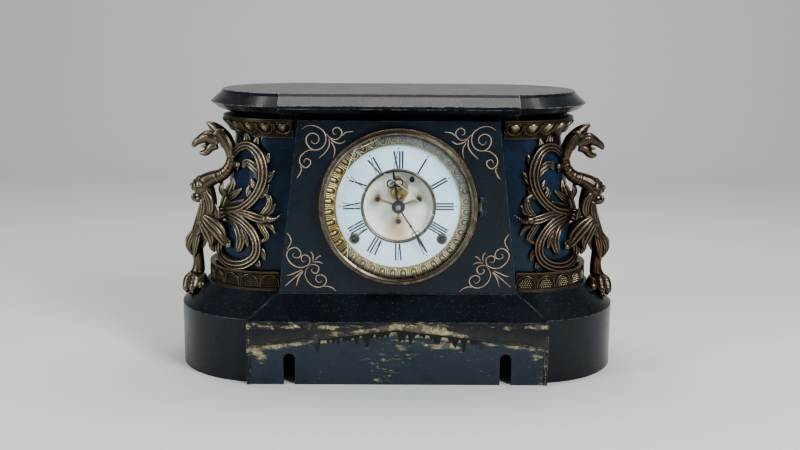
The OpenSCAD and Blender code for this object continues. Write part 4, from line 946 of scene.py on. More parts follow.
def on_capital(side, s, h, proud):
    """s mm along the band, h mm up from its lower edge, proud mm off its own outline."""
    out = capital_r(h) + proud - ARC_R
    return band_place(side, CAPITAL_CX, ARC_R * MM, capital_start, s, out, capital_low[2] + h * MM)


def egg_and_dart(side):
    form = Form()
    pitch, egg_w, egg_h, middle = 17.4, 5.4, 5.6, 10.2
    count = int((2 * (CAPITAL_CX - capital_start) / MM + math.pi * ARC_R - 9) / pitch)
    for i in range(count):
        s = 9.0 + i * pitch
        rows = []
        for k in range(7):
            e = k / 6 * math.pi / 2
            rows.append([
                on_capital(
                    side, s + egg_w * math.cos(t) * math.cos(e),
                    min(middle + egg_h * math.sin(t) * math.cos(e), 15.6), 3.0 * math.sin(e) - 0.4,
                )
                for t in (math.tau * j / 24 for j in range(24))
            ])
        form.grid(rows, closed_u=True)
        form.cap(rows[0], flip=side > 0)
        form.cap(rows[-1], flip=side < 0)
        shell = [on_capital(side, s + 7.7, 15.4, 0.7)]
        shell += [
            on_capital(side, s + 7.4 * math.cos(t), middle + 0.8 - 6.6 * math.sin(t), 0.7)
            for t in (math.pi * k / 16 for k in range(17))
        ]
        shell.append(on_capital(side, s - 7.7, 15.4, 0.7))
        form.tube(shell, [1.15 * MM] * len(shell), 8, 1.0)
        if i:
            stem = [on_capital(side, s - pitch / 2, h, 0.9) for h in (15.2, 11, 7.5, 4.6)]
            form.tube(stem, [0.5 * MM, 0.8 * MM, 1.3 * MM, 0.25 * MM], 8, 0.8)
    return form


# %% Arches and pearls on the base's shoulder
def arches(side):
    form = Form()
    pitch = 21.0
    low, top = ring_low[2], ring_high[2]
    height = (top - low) / MM
    face = -1.5
    pearl_r = 0.95
    count = int((RING_CX - ring_start + RING_R * 2.6) / MM / pitch)
    for i in range(count + 1):
        s = 9.5 + i * pitch
        for offset, r0 in ((9.5, 0.95), (7.6, 0.5)):
            arch = []
            for k in range(15):
                t = math.pi * k / 14
                u = offset * math.cos(t)
                h = 3.2 + (height - 6.6 - (9.6 - offset)) * math.sin(t) ** 0.8
                arch.append(band_place(side, RING_CX, RING_R, ring_start, s + u, face + 0.6, low + h * MM))
            form.tube(arch, [r0 * MM] * len(arch), 7, 1.0)
        for row in range(5):
            for col in range(-3, 4):
                u = col * 2.35 + (row % 2) * 1.17
                h = 4.2 + row * 2.1
                if (u / 6.9) ** 2 + ((h - 3.4) / 9.6) ** 2 > 1:
                    continue
                rows = []
                for k in range(3):
                    e = math.pi / 2 * k / 2.6
                    rows.append([
                        band_place(
                            side, RING_CX, RING_R, ring_start, s + u + pearl_r * math.cos(e) * math.cos(t),
                            face - 0.1 + pearl_r * math.sin(e),
                            low + (h + pearl_r * math.cos(e) * math.sin(t)) * MM,
                        )
                        for t in (math.tau * j / 7 for j in range(7))
                    ])
                form.grid(rows, closed_u=True)
                form.cap(rows[0], flip=side > 0)
                form.cap(rows[-1], flip=side < 0)
        for edge in (-pitch / 2, pitch / 2):
            rib = [
                band_place(
                    side, RING_CX, RING_R, ring_start, s + edge * (1 - 0.06 * k), face + 0.3,
                    low + (3.4 + 2.7 * k) * MM,
                )
                for k in range(5)
            ]
            form.tube(rib, [0.3 * MM, 0.9 * MM, 0.8 * MM, 0.5 * MM, 0.2 * MM], 7, 0.9)
    return form


for side, word in ((-1, "left"), (1, "right")):
    eggs = egg_and_dart(side)
    piece("egg_and_dart_" + word, eggs.points, eggs.faces, bronze_ornament)
    row = arches(side)
    piece("arches_and_pearls_" + word, row.points, row.faces, bronze_ornament)
    print(word, "band ornament:", len(eggs.faces), len(row.faces), "faces")

# %% [markdown]
# ## The griffins
#
# Each column carries a griffin, one bronze casting: a beaked head with a swept crest, a long neck, a
# chest of leaves, a lion's leg, and a wing that is really an acanthus scroll wrapped round the
# column. A carver would work it in wax; here it is built the same way. Rolls and fluted bands are
# laid along given curves, melted together by a voxel remesh, and smoothed, which rounds every
# inner corner as wax and casting sand do. The right-hand one is made, and the left is its mirror.
#
# Places are given as on a carver's drawing: millimetres out from the outer edge of the column's foot
# and up from its seat. The wing's points need no depth, because they lie on the column.

# %% Measures of the column that the wing lies on
edge_x, seat_z = body_high[0] / MM, body_low[2] / MM
column_rise = (lid_low[2] - body_low[2]) / MM
FOOT_R, HEAD_R, FOOT_CX, HEAD_CX = 60.0, 50.0, 128.0, 112.0
WING_BACK = 20.0


def column_at(up):
    """Centre and radius of the column's half-circle at a height above its seat."""
    t = up / column_rise
    return FOOT_CX + (HEAD_CX - FOOT_CX) * t, FOOT_R + (HEAD_R - FOOT_R) * t


def on_column(out, up, stand):
    """A place `stand` mm in front of the column, and the direction that leads away from it."""
    centre, radius = column_at(up)
    x = edge_x + out
    dx = max(0.0, x - centre)
    depth = max(WING_BACK, math.sqrt(max(0.0, radius ** 2 - dx ** 2)))
    away = Vector((0.55 * dx / radius, -1, 0)).normalized()
    return Vector((x, -depth - stand, seat_z + up)), away


# %% Rolls, bands and balls of wax
def roll(form, places, sides=14, squash=1.0):
    """A round limb through (out, y, up, radius)."""
    path = smooth_path(places, 7)
    middles = [Vector((edge_x + p[0], p[1], seat_z + p[2])) for p in path]
    form.tube(middles, [max(p[3], 0.5) for p in path], sides, squash)


def fluted(v):
    """Section of a fluted band, 0 at its edges: three rounded ribs with two grooves."""
    rib = abs(math.cos(1.5 * math.pi * v)) ** 0.8
    return math.sqrt(max(0.0, 1 - v * v)) * 0.42 + 0.58 * rib * (1 - v ** 6)


def band(form, centres, widths, heights, sunk=1.4, ribs=19):
    """A closed band along centres given with their outward directions."""
    rows = []
    for i, (p, away) in enumerate(centres):
        ahead = (centres[min(i + 1, len(centres) - 1)][0] - centres[max(i - 1, 0)][0]).normalized()
        side = ahead.cross(away).normalized()
        row = []
        for k in range(ribs):
            v = -1 + 2 * k / (ribs - 1)
            row.append(p + side * (v * widths[i]) + away * (fluted(v) * heights[i]))
        for k in range(5):
            v = 1 - 2 * (k + 0.5) / 5
            row.append(p + side * (v * widths[i] * 0.8) - away * sunk)
        rows.append(row)
    form.grid(rows, closed_u=True)
    form.cap(rows[0], flip=True)
    form.cap(rows[-1])


def wing_band(form, places, stand=3.2, proud=0.85):
    """A fluted band on the column through (out, up, half width)."""
    path = smooth_path(places, 8)
    centres = [on_column(p[0], p[1], stand) for p in path]
    band(form, centres, [p[2] for p in path], [max(0.5, p[2] * proud) for p in path])


def free_band(form, places, proud=0.6):
    """A fluted leaf in the air through (out, y, up, half width), facing the front."""
    path = smooth_path(places, 8)
    facing = Vector((0.25, -1, 0)).normalized()
    centres = [(Vector((edge_x + p[0], p[1], seat_z + p[2])), facing) for p in path]
    band(form, centres, [p[3] for p in path], [max(0.4, p[3] * proud) for p in path], sunk=1.8)


def ball(form, out, y, up, radius, squash=1.0):
    centre = Vector((edge_x + out, y, seat_z + up))
    rows = []
    for k in range(1, 8):
        b = math.pi * k / 8
        rows.append([
            centre + Vector((
                math.cos(a) * math.sin(b), squash * math.cos(b), math.sin(a) * math.sin(b),
            )) * radius
            for a in (math.tau * j / 14 for j in range(14))
        ])
    form.grid(rows, closed_u=True)
    form.cap(rows[0], flip=True)
    form.cap(rows[-1])


# %% [markdown]
# The wing is two scrolls. The upper one rises from the shoulder, swings in towards the panel and
# curls over into a volute below the capital; the lower one sinks from the same root and curls
# outwards. Where they part, a flower with a ribbed horn points at the dial. Leaf tips break from
# the outside of each bend, as on real acanthus.

# %% The wing's scrolls and leaves
upper_scroll = [
    (4, 64, 6.0), (-7.5, 69, 6.2), (-20, 73.5, 5.6), (-33.5, 79, 5.0), (-45, 88.5, 4.8), (-53, 100.5, 5.2),
    (-56.5, 113.5, 5.6), (-55, 126, 5.8), (-50, 136.5, 5.4), (-41, 141.5, 4.8), (-32, 138.5, 4.2),
    (-25, 130, 3.8), (-24.5, 122, 3.2), (-30, 117.5, 2.4),
]
upper_tips = [
    [(-52, 124, 3.4), (-51, 134, 4.2), (-48.5, 142, 3.6), (-50, 150.5, 0.7)],
    [(-54, 118, 3.2), (-58.5, 126, 3.4), (-62, 135, 0.6)],
    [(-55.5, 104, 3.0), (-61, 111, 3.4), (-67, 118, 0.6)],
    [(-51, 92, 2.8), (-57, 97, 3.0), (-61.5, 104, 0.6)],
    [(-46, 137, 3.4), (-40.5, 146, 4.0), (-38, 157, 0.7)],
    [(-37, 138, 2.8), (-31, 144, 3.0), (-27, 151, 0.6)],
    [(-54, 112, 2.8), (-48, 120, 3.8), (-39.5, 124.5, 3.6), (-34, 119, 1.2)],
    [(-53, 101, 2.6), (-47, 103, 3.0), (-43.5, 109.5, 1.0)],
    [(-45, 90, 2.6), (-41, 96, 2.8), (-42, 102.5, 0.8)],
]
upright_leaf = [
    [(-10, 70, 3.4), (-15.5, 84, 4.8), (-22, 97.5, 4.4), (-24, 107, 0.8)],
    [(-17, 84, 2.6), (-25, 91, 3.0), (-33, 98, 0.8)],
    [(-15, 77, 2.4), (-26, 82, 2.8), (-36, 87.5, 0.8)],
    [(-14, 86, 2.4), (-10, 94, 2.6), (-11, 102, 0.8)],
]
floret = [
    [(-26, 75.5, 3.6), (-38, 75, 4.4), (-48, 72.5, 5.6), (-57, 70.5, 5.0)],
    [(-54, 74, 3.2), (-61, 83, 3.8), (-62, 91.5, 3.0), (-55, 96.5, 1.2)],
    [(-51, 68.5, 3.2), (-56, 60, 3.6), (-59.5, 53, 3.0), (-53, 47, 1.2)],
    [(-56, 73, 2.4), (-64, 79, 2.6), (-68, 86, 0.8)],
    [(-56, 68, 2.4), (-64, 62.5, 2.6), (-68, 56, 0.8)],
]
lower_scroll = [
    (-2, 68, 5.2), (-14, 71.5, 5.2), (-27, 70.5, 5.0), (-39, 64, 4.8), (-47, 53, 4.8), (-49.5, 42, 5.0),
    (-46.5, 32.5, 5.2), (-38.5, 26, 5.4), (-28.5, 23, 5.6), (-18, 23.5, 5.6), (-9.5, 28.5, 5.2),
    (-8, 37.5, 4.6), (-13.5, 44.5, 3.8), (-21, 43, 2.6),
]
lower_tips = [
    [(-16, 68, 3.4), (-28, 62.5, 4.6), (-33, 51, 4.6), (-31, 40, 3.4), (-28, 35, 1.0)],
    [(-26, 64, 2.8), (-36.5, 53, 3.2), (-40, 42, 0.8)],
    [(-48, 44, 2.8), (-54.5, 37, 3.0), (-57, 29.5, 0.7)],
    [(-45, 32, 2.8), (-50, 25.5, 2.6), (-50.5, 20.5, 0.7)],
    [(-12, 55, 1.4), (-7, 51, 4.4), (-1.5, 45, 5.0), (1, 36, 3.2), (-1, 29, 0.8)],
    [(-16, 24, 2.6), (-9, 20, 2.8), (-2, 21.5, 0.8)],
]


def wing(form):
    wing_band(form, [(out, up, half * 1.12) for out, up, half in upper_scroll])
    wing_band(form, [(out, up, half * 1.12) for out, up, half in lower_scroll], stand=3.6)
    for leaf in upper_tips + lower_tips + upright_leaf:
        wing_band(form, [(out, up, half * 1.35) for out, up, half in leaf], stand=2.8, proud=0.62)
    for petal in floret:
        wing_band(form, petal, stand=4.0, proud=0.9)
    # The volute buttons and the flower's middle
    for out, up, radius in ((-29.5, 121.5, 3.2), (-19, 40.5, 3.4), (-58.5, 71, 4.6)):
        place, _ = on_column(out, up, 5.2)
        ball(form, place.x - edge_x, place.y, place.z - seat_z, radius)
    # The ribbed horn: a tapering coil that ends in a point
    turns, steps = 6, 84
    path, radii = [], []
    for k in range(steps + 1):
        t = k / steps
        place, away = on_column(-60 - 14 * t, 71 - 1.5 * math.sin(math.pi * t) + 5.5 * t * t, 4.6)
        a = math.tau * turns * t
        reach = 3.2 * (1 - t) + 0.25
        path.append(place + away * (reach * math.cos(a)) + Vector((0, 0, 1)) * (reach * math.sin(a)))
        radii.append(1.5 * (1 - t) + 0.5)
    form.tube(path, radii, 8)


# %% [markdown]
# The figure stands beside the column on the base's shoulder. Its beak is open, its crest sweeps back
# in one long smooth horn, and a snail of bronze sits at the shoulder with a curled spur under it.
# The leg ends in a lion's paw whose toes grip the edge of the base.

# %% Head, neck and crest
crest = [(-20.5, -28.5, 128, 4.2), (-20, -28, 136, 6.0), (-16, -26.5, 145.5, 7.0), (-9.5, -25.5, 153, 6.2),
         (-3.5, -24.5, 158, 4.4), (3, -23.5, 161.5, 1.6)]
skull = [(-9, -26, 141.5, 5.0), (-4.5, -25.5, 145.5, 6.6), (1.5, -25, 147.5, 6.4), (6.5, -24.5, 146, 5.4),
         (10.5, -24, 143.8, 4.2), (14, -23.5, 141.5, 3.6), (16.2, -23, 138.6, 2.7), (16.4, -23, 136.4, 1.4)]
jaw = [(-7, -26, 139.5, 4.8), (-1, -25.5, 137, 4.6), (2, -25, 133.5, 4.0), (5, -24.5, 131.2, 3.4),
       (8.5, -24, 131, 2.6), (10.5, -24, 132.4, 1.3)]
tongue = [(0, -25, 140, 1.8), (5, -24.5, 138, 1.7), (9.5, -24, 137.2, 1.0)]
neck = [(-19.5, -27.5, 143, 5.2), (-22, -27, 133, 5.4), (-21.5, -26.5, 124, 5.4), (-18, -26, 115.5, 5.8),
        (-11, -24.5, 109, 6.4), (-2, -22.5, 105.5, 7.4), (5, -21, 101.5, 8.8), (10, -20, 96.5, 9.4)]


def head_and_neck(form):
    for limb in (crest, skull, jaw, tongue, neck):
        roll(form, limb)
    # Brow, eye with its lid, and the ear
    roll(form, [(-4, -29.6, 151, 1.3), (1.5, -30, 152, 1.7), (6.5, -28.4, 149.6, 1.0)], 8)
    ball(form, 1.5, -30.2, 148.4, 1.5)
    roll(form, [(-1.5, -30, 147, 0.7), (1.5, -30.6, 146.2, 0.8), (4.5, -29.4, 147, 0.6)], 8)
    free_band(form, [(-5, -30.4, 150, 1.6), (-10, -31, 154, 2.2), (-15.5, -31, 155.5, 0.6)])
    # Three long feathers lie along the crest and run down the nape
    for shift in (-1, 0, 1):
        free_band(form, [
            (-16 + 2.2 * shift, -30.5, 136 + shift, 1.5),
            (-12.5 + 2.4 * shift, -30.4, 146 - 1.5 * shift, 1.9),
            (-6 + 2.2 * shift, -29, 153 - 2.2 * shift, 1.4),
            (0.5, -26.5, 158.5 - 1.2 * shift, 0.5),
        ], 0.5)
    # Overlapping collars ring the neck
    path = smooth_path(neck, 4)
    for k in range(6, len(path) - 8, 3):
        p = path[k]
        ahead = path[k + 1] - path[k - 1]
        ahead = Vector((ahead[0], ahead[1], ahead[2])).normalized()
        side = ahead.cross(Vector((0, -1, 0))).normalized()
        front = side.cross(ahead).normalized()
        middle = Vector((edge_x + p[0], p[1], seat_z + p[2]))
        ring = [middle + (side * math.cos(a) + front * math.sin(a)) * (p[3] - 0.3) for a in
                (math.pi * (j / 12) for j in range(13))]
        form.tube(ring, [0.75] * 13, 6)


# %% Chest, shoulder snail and spur
chest = [(8, -20, 100, 9.0), (5, -19, 90, 8.6), (4, -18.5, 80, 8.8), (6, -17.5, 70.5, 9.4),
         (9.5, -15.5, 61, 9.2), (14, -13, 52, 8.0), (18, -11, 43.5, 7.0)]
root = [(-24, -28, 46, 1.6), (-17, -26, 51, 4.2), (-8, -22.5, 57, 6.4), (3, -18.5, 62, 7.6)]
chest_leaves = [
    [(6, -27.5, 92, 2.6), (2, -27.5, 84, 4.4), (1, -27.5, 75, 4.2), (4, -27, 66, 1.0)],
    [(9, -26, 84, 2.4), (9.5, -26, 76, 4.0), (11.5, -25.5, 67, 3.6), (15.5, -23, 58.5, 0.8)],
    [(3, -27, 72, 2.4), (6, -26, 63, 4.0), (10.5, -24, 55, 3.6), (16.5, -21, 46.5, 0.8)],
    [(-2, -26, 80, 2.4), (-5, -26.5, 71, 4.2), (-4, -26, 62, 3.6), (1, -24, 53.5, 0.8)],
    [(10, -26, 68, 2.6), (1, -28, 61, 7.6), (-8, -30, 52, 8.6), (-14, -31, 42, 6.0), (-17, -31, 36, 1.2)],
    [(12, -25, 62, 2.6), (6, -26, 53, 6.0), (2, -26.5, 44, 5.4), (1, -26.5, 36.5, 1.0)],
]


def chest_and_shoulder(form):
    for limb in (chest, root):
        roll(form, limb)
    for leaf in chest_leaves:
        free_band(form, leaf, 0.5)
    # The snail: a coil that climbs outwards and closes on its tip
    ball(form, 9, -20, 96.5, 9.4)
    path, radii = [], []
    steps = 72
    for k in range(steps + 1):
        t = k / steps
        a = math.tau * 2.6 * t
        reach = 7.6 * (1 - t) ** 0.8
        x = edge_x + 11 + 11 * t
        path.append(Vector((x, -19.5 - reach * math.cos(a), seat_z + 97 + reach * math.sin(a))))
        radii.append(3.0 * (1 - t) + 1.2)
    form.tube(path, radii, 10, up=Vector((1, 0, 0)))
    roll(form, [(6, -19, 88, 5.2), (11, -18.5, 84.8, 4.0), (16, -18, 82.6, 3.0), (19.6, -18, 84.4, 2.4),
                (19, -18, 87.6, 1.8), (16.8, -18, 87, 1.2)], 10)


# %% Leg and paw
shin = [(18, -11, 44, 7.0), (19, -9, 36, 7.0), (18.5, -7.5, 27, 6.2), (17.5, -6.5, 17, 5.8),
        (18, -6.5, 8, 6.6), (20, -7, 2, 7.2)]
knee_tuft = [
    [(19, -16, 50, 3.4), (24, -14.5, 42, 4.4), (26.5, -12.5, 33, 3.6), (24, -10.5, 23, 0.8)],
    [(15, -18, 48, 3.0), (17.5, -17, 39, 4.0), (19.5, -15, 30, 3.2), (21, -12.5, 22, 0.8)],
    [(22, -12, 47, 2.6), (27.5, -10, 40, 3.0), (29, -8.5, 32.5, 0.8)],
    [(10, -18, 49, 2.4), (9.5, -15, 40, 3.0), (12, -12.5, 31, 0.8)],
]
toes = [
    [(15, -9, 0, 6.0), (13, -16, -1, 5.4), (12.5, -22, -5.5, 4.8), (12.5, -24.5, -9, 3.4)],
    [(19, -9, 1, 6.2), (20, -17, -1, 5.8), (21, -22.5, -7, 5.0), (21.5, -24.5, -11, 3.4)],
    [(22, -6, 1, 6.2), (27, -12, -2, 5.8), (28.5, -16, -9, 5.0), (29, -17.5, -13, 3.4)],
    [(22.5, -2, 0, 6.0), (28, -3, -4.5, 5.4), (29.8, -4, -12, 4.6), (30, -4.5, -16, 3.2)],
]


def leg_and_paw(form):
    roll(form, shin)
    for leaf in knee_tuft:
        free_band(form, leaf, 0.6)
    ball(form, 17, -5, -2, 6.4)
    for toe in toes:
        roll(form, toe, 12)
        knuckle, claw = toe[1], toe[3]
        ball(form, knuckle[0], knuckle[1] - 0.5, knuckle[2] + 0.8, knuckle[3] * 0.95)
        ball(form, toe[2][0], toe[2][1], toe[2][2] + 0.4, toe[2][3] * 1.02)
        roll(form, [(claw[0], claw[1], claw[2], 1.9), (claw[0] + 0.4, claw[1] - 2.6, claw[2] - 1.6, 0.6)], 8)


# %% Melt the wax together and cast both griffins
VOXEL = 0.62


def cast(form, name):
    """One skin round all the overlapping forms: a voxel remesh in mm, then a light smoothing."""
    rough = bpy.data.meshes.new(name + "_wax")
    rough.from_pydata([tuple(p) for p in form.points], [], form.faces)
    thing = bpy.data.objects.new(name + "_wax", rough)
    bpy.context.scene.collection.objects.link(thing)
    melt = thing.modifiers.new("melt", "REMESH")
    melt.mode, melt.voxel_size = "VOXEL", VOXEL
    rub = thing.modifiers.new("rub", "SMOOTH")
    rub.factor, rub.iterations = 0.5, 2
    skin = bpy.data.meshes.new_from_object(thing.evaluated_get(bpy.context.evaluated_depsgraph_get()))
    points = [v.co * MM for v in skin.vertices]
    faces = [tuple(p.vertices) for p in skin.polygons]
    bpy.data.objects.remove(thing)
    bpy.data.meshes.remove(rough)
    bpy.data.meshes.remove(skin)
    return points, faces


wax = Form()
wing(wax)
head_and_neck(wax)
chest_and_shoulder(wax)
leg_and_paw(wax)
skin_points, skin_faces = cast(wax, "griffin")
piece(
    "griffin_casting_right", skin_points, skin_faces,
    bronze_right, replaces=["griffin_right"],
)
piece(
    "griffin_casting_left", [Vector((-p.x, p.y, p.z)) for p in skin_points], [f[::-1] for f in skin_faces],
    bronze_left, replaces=["griffin_left"],
)
print("griffins: %d faces each" % len(skin_faces))

# %% [markdown]
# ## The dial
#
# Roman numerals stand on the enamel with their feet to the centre. The engraver's rule for them is
# simple: strokes that fall to the right are thick, strokes that rise to the right are hair-thin, and
# every stroke ends in a hairline serif. Each numeral is spelled out from I, V and X; the strokes are
# thin flat bars a tenth of a millimetre proud of the enamel, as fired enamel paint is.

# %% Numerals and minute marks
NUMERAL_IN, NUMERAL_OUT, MINUTE_R = 37.0, 53.4, 56.1
THICK, THIN, SERIF = 1.5, 0.62, 0.40


def flat_shape(form, outline, out_back, out_front):
    """A flat plate with its outline in the dial's plane, in mm, between two distances from the panel."""
    start, n = len(form.points), len(outline)
    for out in (out_back, out_front):
        form.points.extend(on_dial(x, up, out) for x, up in outline)
    form.faces.append(tuple(start + i for i in range(n)))
    form.faces.append(tuple(start + n + i for i in reversed(range(n))))
    for i in range(n):
        j = (i + 1) % n
        form.faces.append((start + j, start + i, start + n + i, start + n + j))


def stroke(form, hour_angle, u0, v0, u1, v1, width, out):
    """A straight stroke in the numeral's own plane: u to the right, v away from the dial's centre."""
    a = Vector((u0, v0))
    b = Vector((u1, v1))
    side = Vector((a.y - b.y, b.x - a.x)).normalized() * width / 2
    turn = Matrix.Rotation(-math.radians(hour_angle), 2)
    corners = [turn @ p for p in (a - side, b - side, b + side, a + side)]
    flat_shape(form, [(p.x, p.y) for p in corners], out, out + 0.12)


def numeral(form, text, hour_angle, out):
    widths = {"I": 2.75 if text != "IIII" else 2.45, "V": 4.5, "X": 4.9}
    at = -sum(widths[c] for c in text) / 2
    low, high = NUMERAL_IN, NUMERAL_OUT
    for letter in text:
        half = widths[letter] / 2
        mid = at + half
        if letter == "I":
            stroke(form, hour_angle, mid, low, mid, high, THICK, out)
            for v in (low, high):
                stroke(form, hour_angle, mid - 1.1, v, mid + 1.1, v, SERIF, out)
        elif letter == "V":
            stroke(form, hour_angle, mid - 1.7, high, mid + 0.1, low, THICK, out)
            stroke(form, hour_angle, mid + 1.7, high, mid + 0.3, low, THIN, out)
            for u in (mid - 1.7, mid + 1.7):
                stroke(form, hour_angle, u - 0.9, high, u + 0.9, high, SERIF, out)
        else:
            stroke(form, hour_angle, mid - 1.8, high, mid + 1.8, low, THICK, out)
            stroke(form, hour_angle, mid + 1.8, high, mid - 1.8, low, THIN, out)
            for v in (low, high):
                for u in (mid - 1.8, mid + 1.8):
                    stroke(form, hour_angle, u - 0.9, v, u + 0.9, v, SERIF, out)
        at += widths[letter]


enamel_out = (panel_y - enamel_y) / MM
marks = Form()
for hour, text in enumerate("XII I II III IIII V VI VII VIII IX X XI".split()):
    numeral(marks, text, 30 * hour, enamel_out)
print("numerals:", len(marks.faces), "faces")

minutes = Form()
for minute in range(60):
    five = minute % 5 == 0
    long, wide = (2.0, 0.75) if five else (1.0, 0.42)
    form = marks if five else minutes
    stroke(form, 6 * minute, 0, MINUTE_R - long / 2, 0, MINUTE_R + long / 2, wide, enamel_out)
piece("dial_numerals", marks.points, marks.faces, numeral_black, smooth=False)
piece("dial_minute_marks", minutes.points, minutes.faces, faded_marks, smooth=False)

# %% [markdown]
# ## The gilt sash
#
# Between the enamel and the bezel lies a ring stamped from thin brass and gilt: forty tongues in
# round-headed frames with a thin dart between neighbours. A stamping is one sheet pushed up and
# down, so it is made as one sheet whose height is worked out at each point: a sloping ground, a
# rounded tongue, a ridge along the frame and a ridge for the dart.

# %% Stamped sash ring
LOBES = 40
sash_low, sash_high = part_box("sash_ring")
sash_r = (sash_high[0] - sash_low[0]) / 2 / MM
sash_in = (chapter_high[0] - chapter_low[0]) / 2 / MM - 0.1


def ridge(distance, width, height):
    return height * math.exp(-((distance / width) ** 2))


def sash_height(r, across):
    """Height of the stamping above the panel at radius r, `across` mm from a tongue's middle line."""
    half_pitch = math.pi * r / LOBES
    run = (r - sash_in) / (sash_r - sash_in)
    ground = 3.9 + 2.6 * run ** 1.5 + 0.5 * max(0.0, 1 - (r - sash_in) / 1.0)
    # The tongue has a round head towards the dial and parallel sides
    reach = max(0.0, 66.2 - r)
    off = math.hypot(across, reach) / 2.0
    tongue = 1.9 * math.sqrt(max(0.0, 1 - off * off))
    arch = math.hypot(across, max(0.0, 65.2 - r))
    frame_ridge = ridge(arch - 3.35, 0.70, 1.35)
    frame_inner = ridge(arch - 2.45, 0.45, -0.5)
    dart = ridge(half_pitch - across, 0.55, 1.2) if r > 61.5 else 0.0
    return ground + tongue + frame_ridge + frame_inner + dart


def sash_sheet():
    form = Form()
    across_steps, rings = 30, 34
    rows_top, rows_under = [], []
    for k in range(rings + 1):
        r = sash_in + (sash_r - sash_in) * k / rings
        top, under = [], []
        for i in range(LOBES * across_steps):
            a = math.tau * i / (LOBES * across_steps)
            within = (i % across_steps) / across_steps - 0.5
            across = abs(within) * math.tau * r / LOBES
            h = sash_height(r, across)
            top.append(on_dial(r * math.sin(a), r * math.cos(a), h))
            under.append(on_dial(r * math.sin(a), r * math.cos(a), min(h - 0.5, 3.3 + 0.22 * (r - sash_in))))
        rows_top.append(top)
        rows_under.append(under)
    form.grid(rows_top + rows_under[::-1], closed_u=True, closed_v=True)
    return form


sheet = sash_sheet()
piece("stamped_sash", sheet.points, sheet.faces, gilt_brass, "bezel", ["sash_ring"])
print("sash:", LOBES, "tongues, outer radius %.1f mm" % sash_r)

# %% [markdown]
# The bezel's rim is milled into fine beads. Each bead is a low round button two millimetres across;
# they are one mesh, set round the rim.

# %% Beads of the bezel
bezel_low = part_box("bezel")[0]
bezel_r = (dial_z - bezel_low[2]) / MM
BEADS = 190


def beads():
    form = Form()
    bead_r, sink = 1.05, 9.35
    for i in range(BEADS):
        a = math.tau * i / BEADS
        x, up = (bezel_r - 1.75) * math.sin(a), (bezel_r - 1.75) * math.cos(a)
        rows = []
        for k in range(5):
            lift_angle = math.pi / 2 * k / 4.4
            r, h = bead_r * math.cos(lift_angle), sink + bead_r * math.sin(lift_angle)
            rows.append([
                on_dial(x + r * math.cos(t), up + r * math.sin(t), h)
                for t in (math.tau * j / 8 for j in range(8))
            ])
        form.grid(rows, closed_u=True)
        form.cap(rows[0])
        form.cap(rows[-1], flip=True)
    return form


ring_of_beads = beads()
piece("bezel_beads", ring_of_beads.points, ring_of_beads.faces, bezel_brass, "bezel")
print("beads:", BEADS, "on radius %.1f mm" % (bezel_r - 1.75))

# %% [markdown]
# ## The broken glass
#
# The domed glass has been hit: a sliver is missing along the left, and three cracks run from its
# upper end, one close to the break, one down towards the hands and one across the dial. The pane
# is cut as a glazier would: its outline is the round rim as far as the break and then the jagged
# break itself. The outline and a net of inner points are triangulated, lifted on to the dome and
# given their thickness.

# %% The pane that is left
PANE_R, PANE_T = sash_r, 1.8
glass_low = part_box("glass")[0]
PANE_APEX = (panel_y - glass_low[1]) / MM
PANE_EDGE = PANE_APEX - 8.0
break_line = [
    (-15.5, 69.59), (-21.5, 64.5), (-31.0, 60.0), (-42.3, 55.4), (-49.0, 37.0), (-52.0, 12.0), (-51.5, -12.0),
    (-48.5, -34.0), (-49.5, -51.3),
]
cracks = [
    [(-42.3, 55.4), (-41.2, 38.0), (-42.2, 12.0), (-41.6, -14.0), (-48.5, -34.0)],
    [(-42.3, 55.4), (-36.0, 33.0), (-30.8, 12.4), (-19.7, -10.9)],
    [(-42.3, 55.4), (-28.0, 43.0), (-13.0, 33.5), (8.0, 18.0), (32.4, -5.3), (44.5, -15.3)],
]


def dome(x, up):
    return PANE_EDGE + (PANE_APEX - PANE_EDGE) * (1 - (x * x + up * up) / PANE_R ** 2)


def jagged(line, chance, step=6.0, swing=0.5):
    """The line with small steps to either side, as glass breaks."""
    out = [line[0]]
    for a, b in zip(line, line[1:]):
        steps = max(1, int(math.dist(a, b) / step))
        for k in range(1, steps):
            t = k / steps
            out.append((
                a[0] + (b[0] - a[0]) * t + chance.uniform(-swing, swing),
                a[1] + (b[1] - a[1]) * t + chance.uniform(-swing, swing),
            ))
        out.append(b)
    return out


def cut_pane():
    """Triangles of the pane's outline, in mm."""
    chance = random.Random(7)
    start = math.atan2(break_line[-1][1], break_line[-1][0]) % math.tau
    stop = math.atan2(break_line[0][1], break_line[0][0]) % math.tau + math.tau
    steps = 110
    rim = [
        (PANE_R * math.cos(a), PANE_R * math.sin(a))
        for a in (start + (stop - start) * k / steps for k in range(steps + 1))
    ]
    outline = rim + jagged(break_line, chance)[1:-1]
    points = list(outline)
    for i in range(-13, 14):
        for j in range(-15, 16):
            p = (i * 5.5 + (j % 2) * 2.7, j * 4.8)
            if math.hypot(*p) < PANE_R - 2.5 and min(math.dist(p, q) for q in points) > 2.2:
                points.append(p)
    n = len(outline)
    edges = [(k, (k + 1) % n) for k in range(n)]
    flat, _, faces, _, _, _ = geometry.delaunay_2d_cdt([Vector(p) for p in points], edges, [], 1, 1e-4)
    return flat, faces


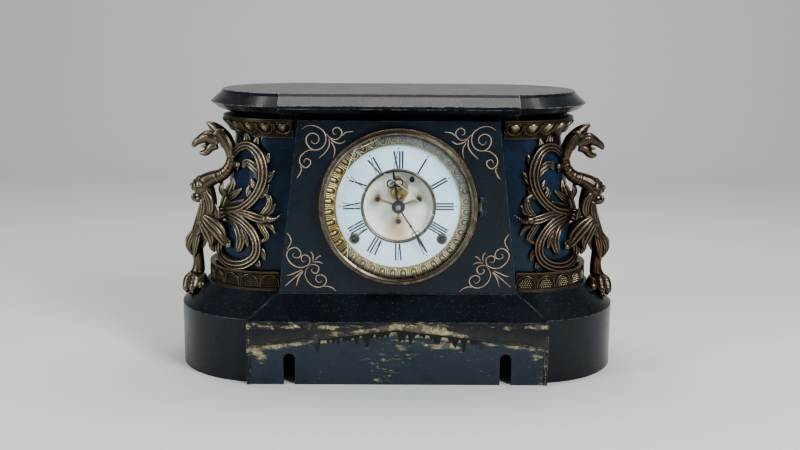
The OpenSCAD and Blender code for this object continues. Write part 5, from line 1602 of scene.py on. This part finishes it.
def pane_form():
    flat, faces = cut_pane()
    used = sorted({i for f in faces for i in f})
    place = {v: k for k, v in enumerate(used)}
    form, n = Form(), len(used)
    for back in (PANE_T, 0.0):
        form.points.extend(on_dial(flat[i].x, flat[i].y, dome(flat[i].x, flat[i].y) - back) for i in used)
    sides = {}
    for f in faces:
        a, b, c = (place[i] for i in f)
        form.faces += [(a, b, c), (c + n, b + n, a + n)]
        for p, q in ((a, b), (b, c), (c, a)):
            sides[(p, q)] = True
    for p, q in sides:
        if (q, p) not in sides:
            form.faces.append((q, p, p + n, q + n))
    return form


glass_form = pane_form()
pane = piece(
    "cracked_glass", glass_form.points, glass_form.faces, window_glass, "bezel", ["glass"],
)
pane.data.set_sharp_from_angle(angle=math.radians(35))
print("glass: %d faces" % len(glass_form.faces))

# %% [markdown]
# A crack shows because its walls throw light back. From the front those walls are seen edge on, so
# each crack is drawn as what the eye gets: a narrow, nearly white track in the glass's face, a
# painted glint of that light, wider where the crack has opened.

# %% Painted glints along the cracks
CRACK_WIDTHS = (0.20, 0.10, 0.12)
OPEN_CRACK = [(-13.0, 33.5), (8.0, 18.0), (32.4, -5.3), (44.5, -15.3)]


def tracks():
    form = Form()
    chance = random.Random(3)
    lines = [(jagged(c, chance), w) for c, w in zip(cracks, CRACK_WIDTHS)]
    lines += [(jagged(break_line, random.Random(7)), 0.30), (jagged(OPEN_CRACK, chance, 5.0, 0.2), 0.28)]
    for line, width in lines:
        rows = []
        for i, p in enumerate(line):
            before, after = Vector(line[max(0, i - 1)]), Vector(line[min(len(line) - 1, i + 1)])
            side = (after - before).normalized()
            side = Vector((-side.y, side.x))
            w = width * chance.uniform(0.5, 1.4)
            row = []
            for u, lift_up in ((-1, 0.0), (0, 0.10), (1, 0.0), (0, -0.15)):
                q = Vector(p) + side * (u * w)
                q = q * min(1.0, (PANE_R - 0.4) / max(q.length, 1.0))
                row.append(on_dial(q.x, q.y, dome(q.x, q.y) + 0.02 + lift_up))
            rows.append(row)
        form.grid(rows, closed_u=True)
        form.cap(rows[0], flip=True)
        form.cap(rows[-1])
    return form


crack_tracks = tracks()
piece(
    "crack_tracks", crack_tracks.points, crack_tracks.faces,
    glint_white, "bezel", smooth=False,
)
print("crack tracks:", len(crack_tracks.faces), "faces")

# %% Box corners as plain numbers
def plain(corners):
    return [[float(v) for v in corner] for corner in corners]
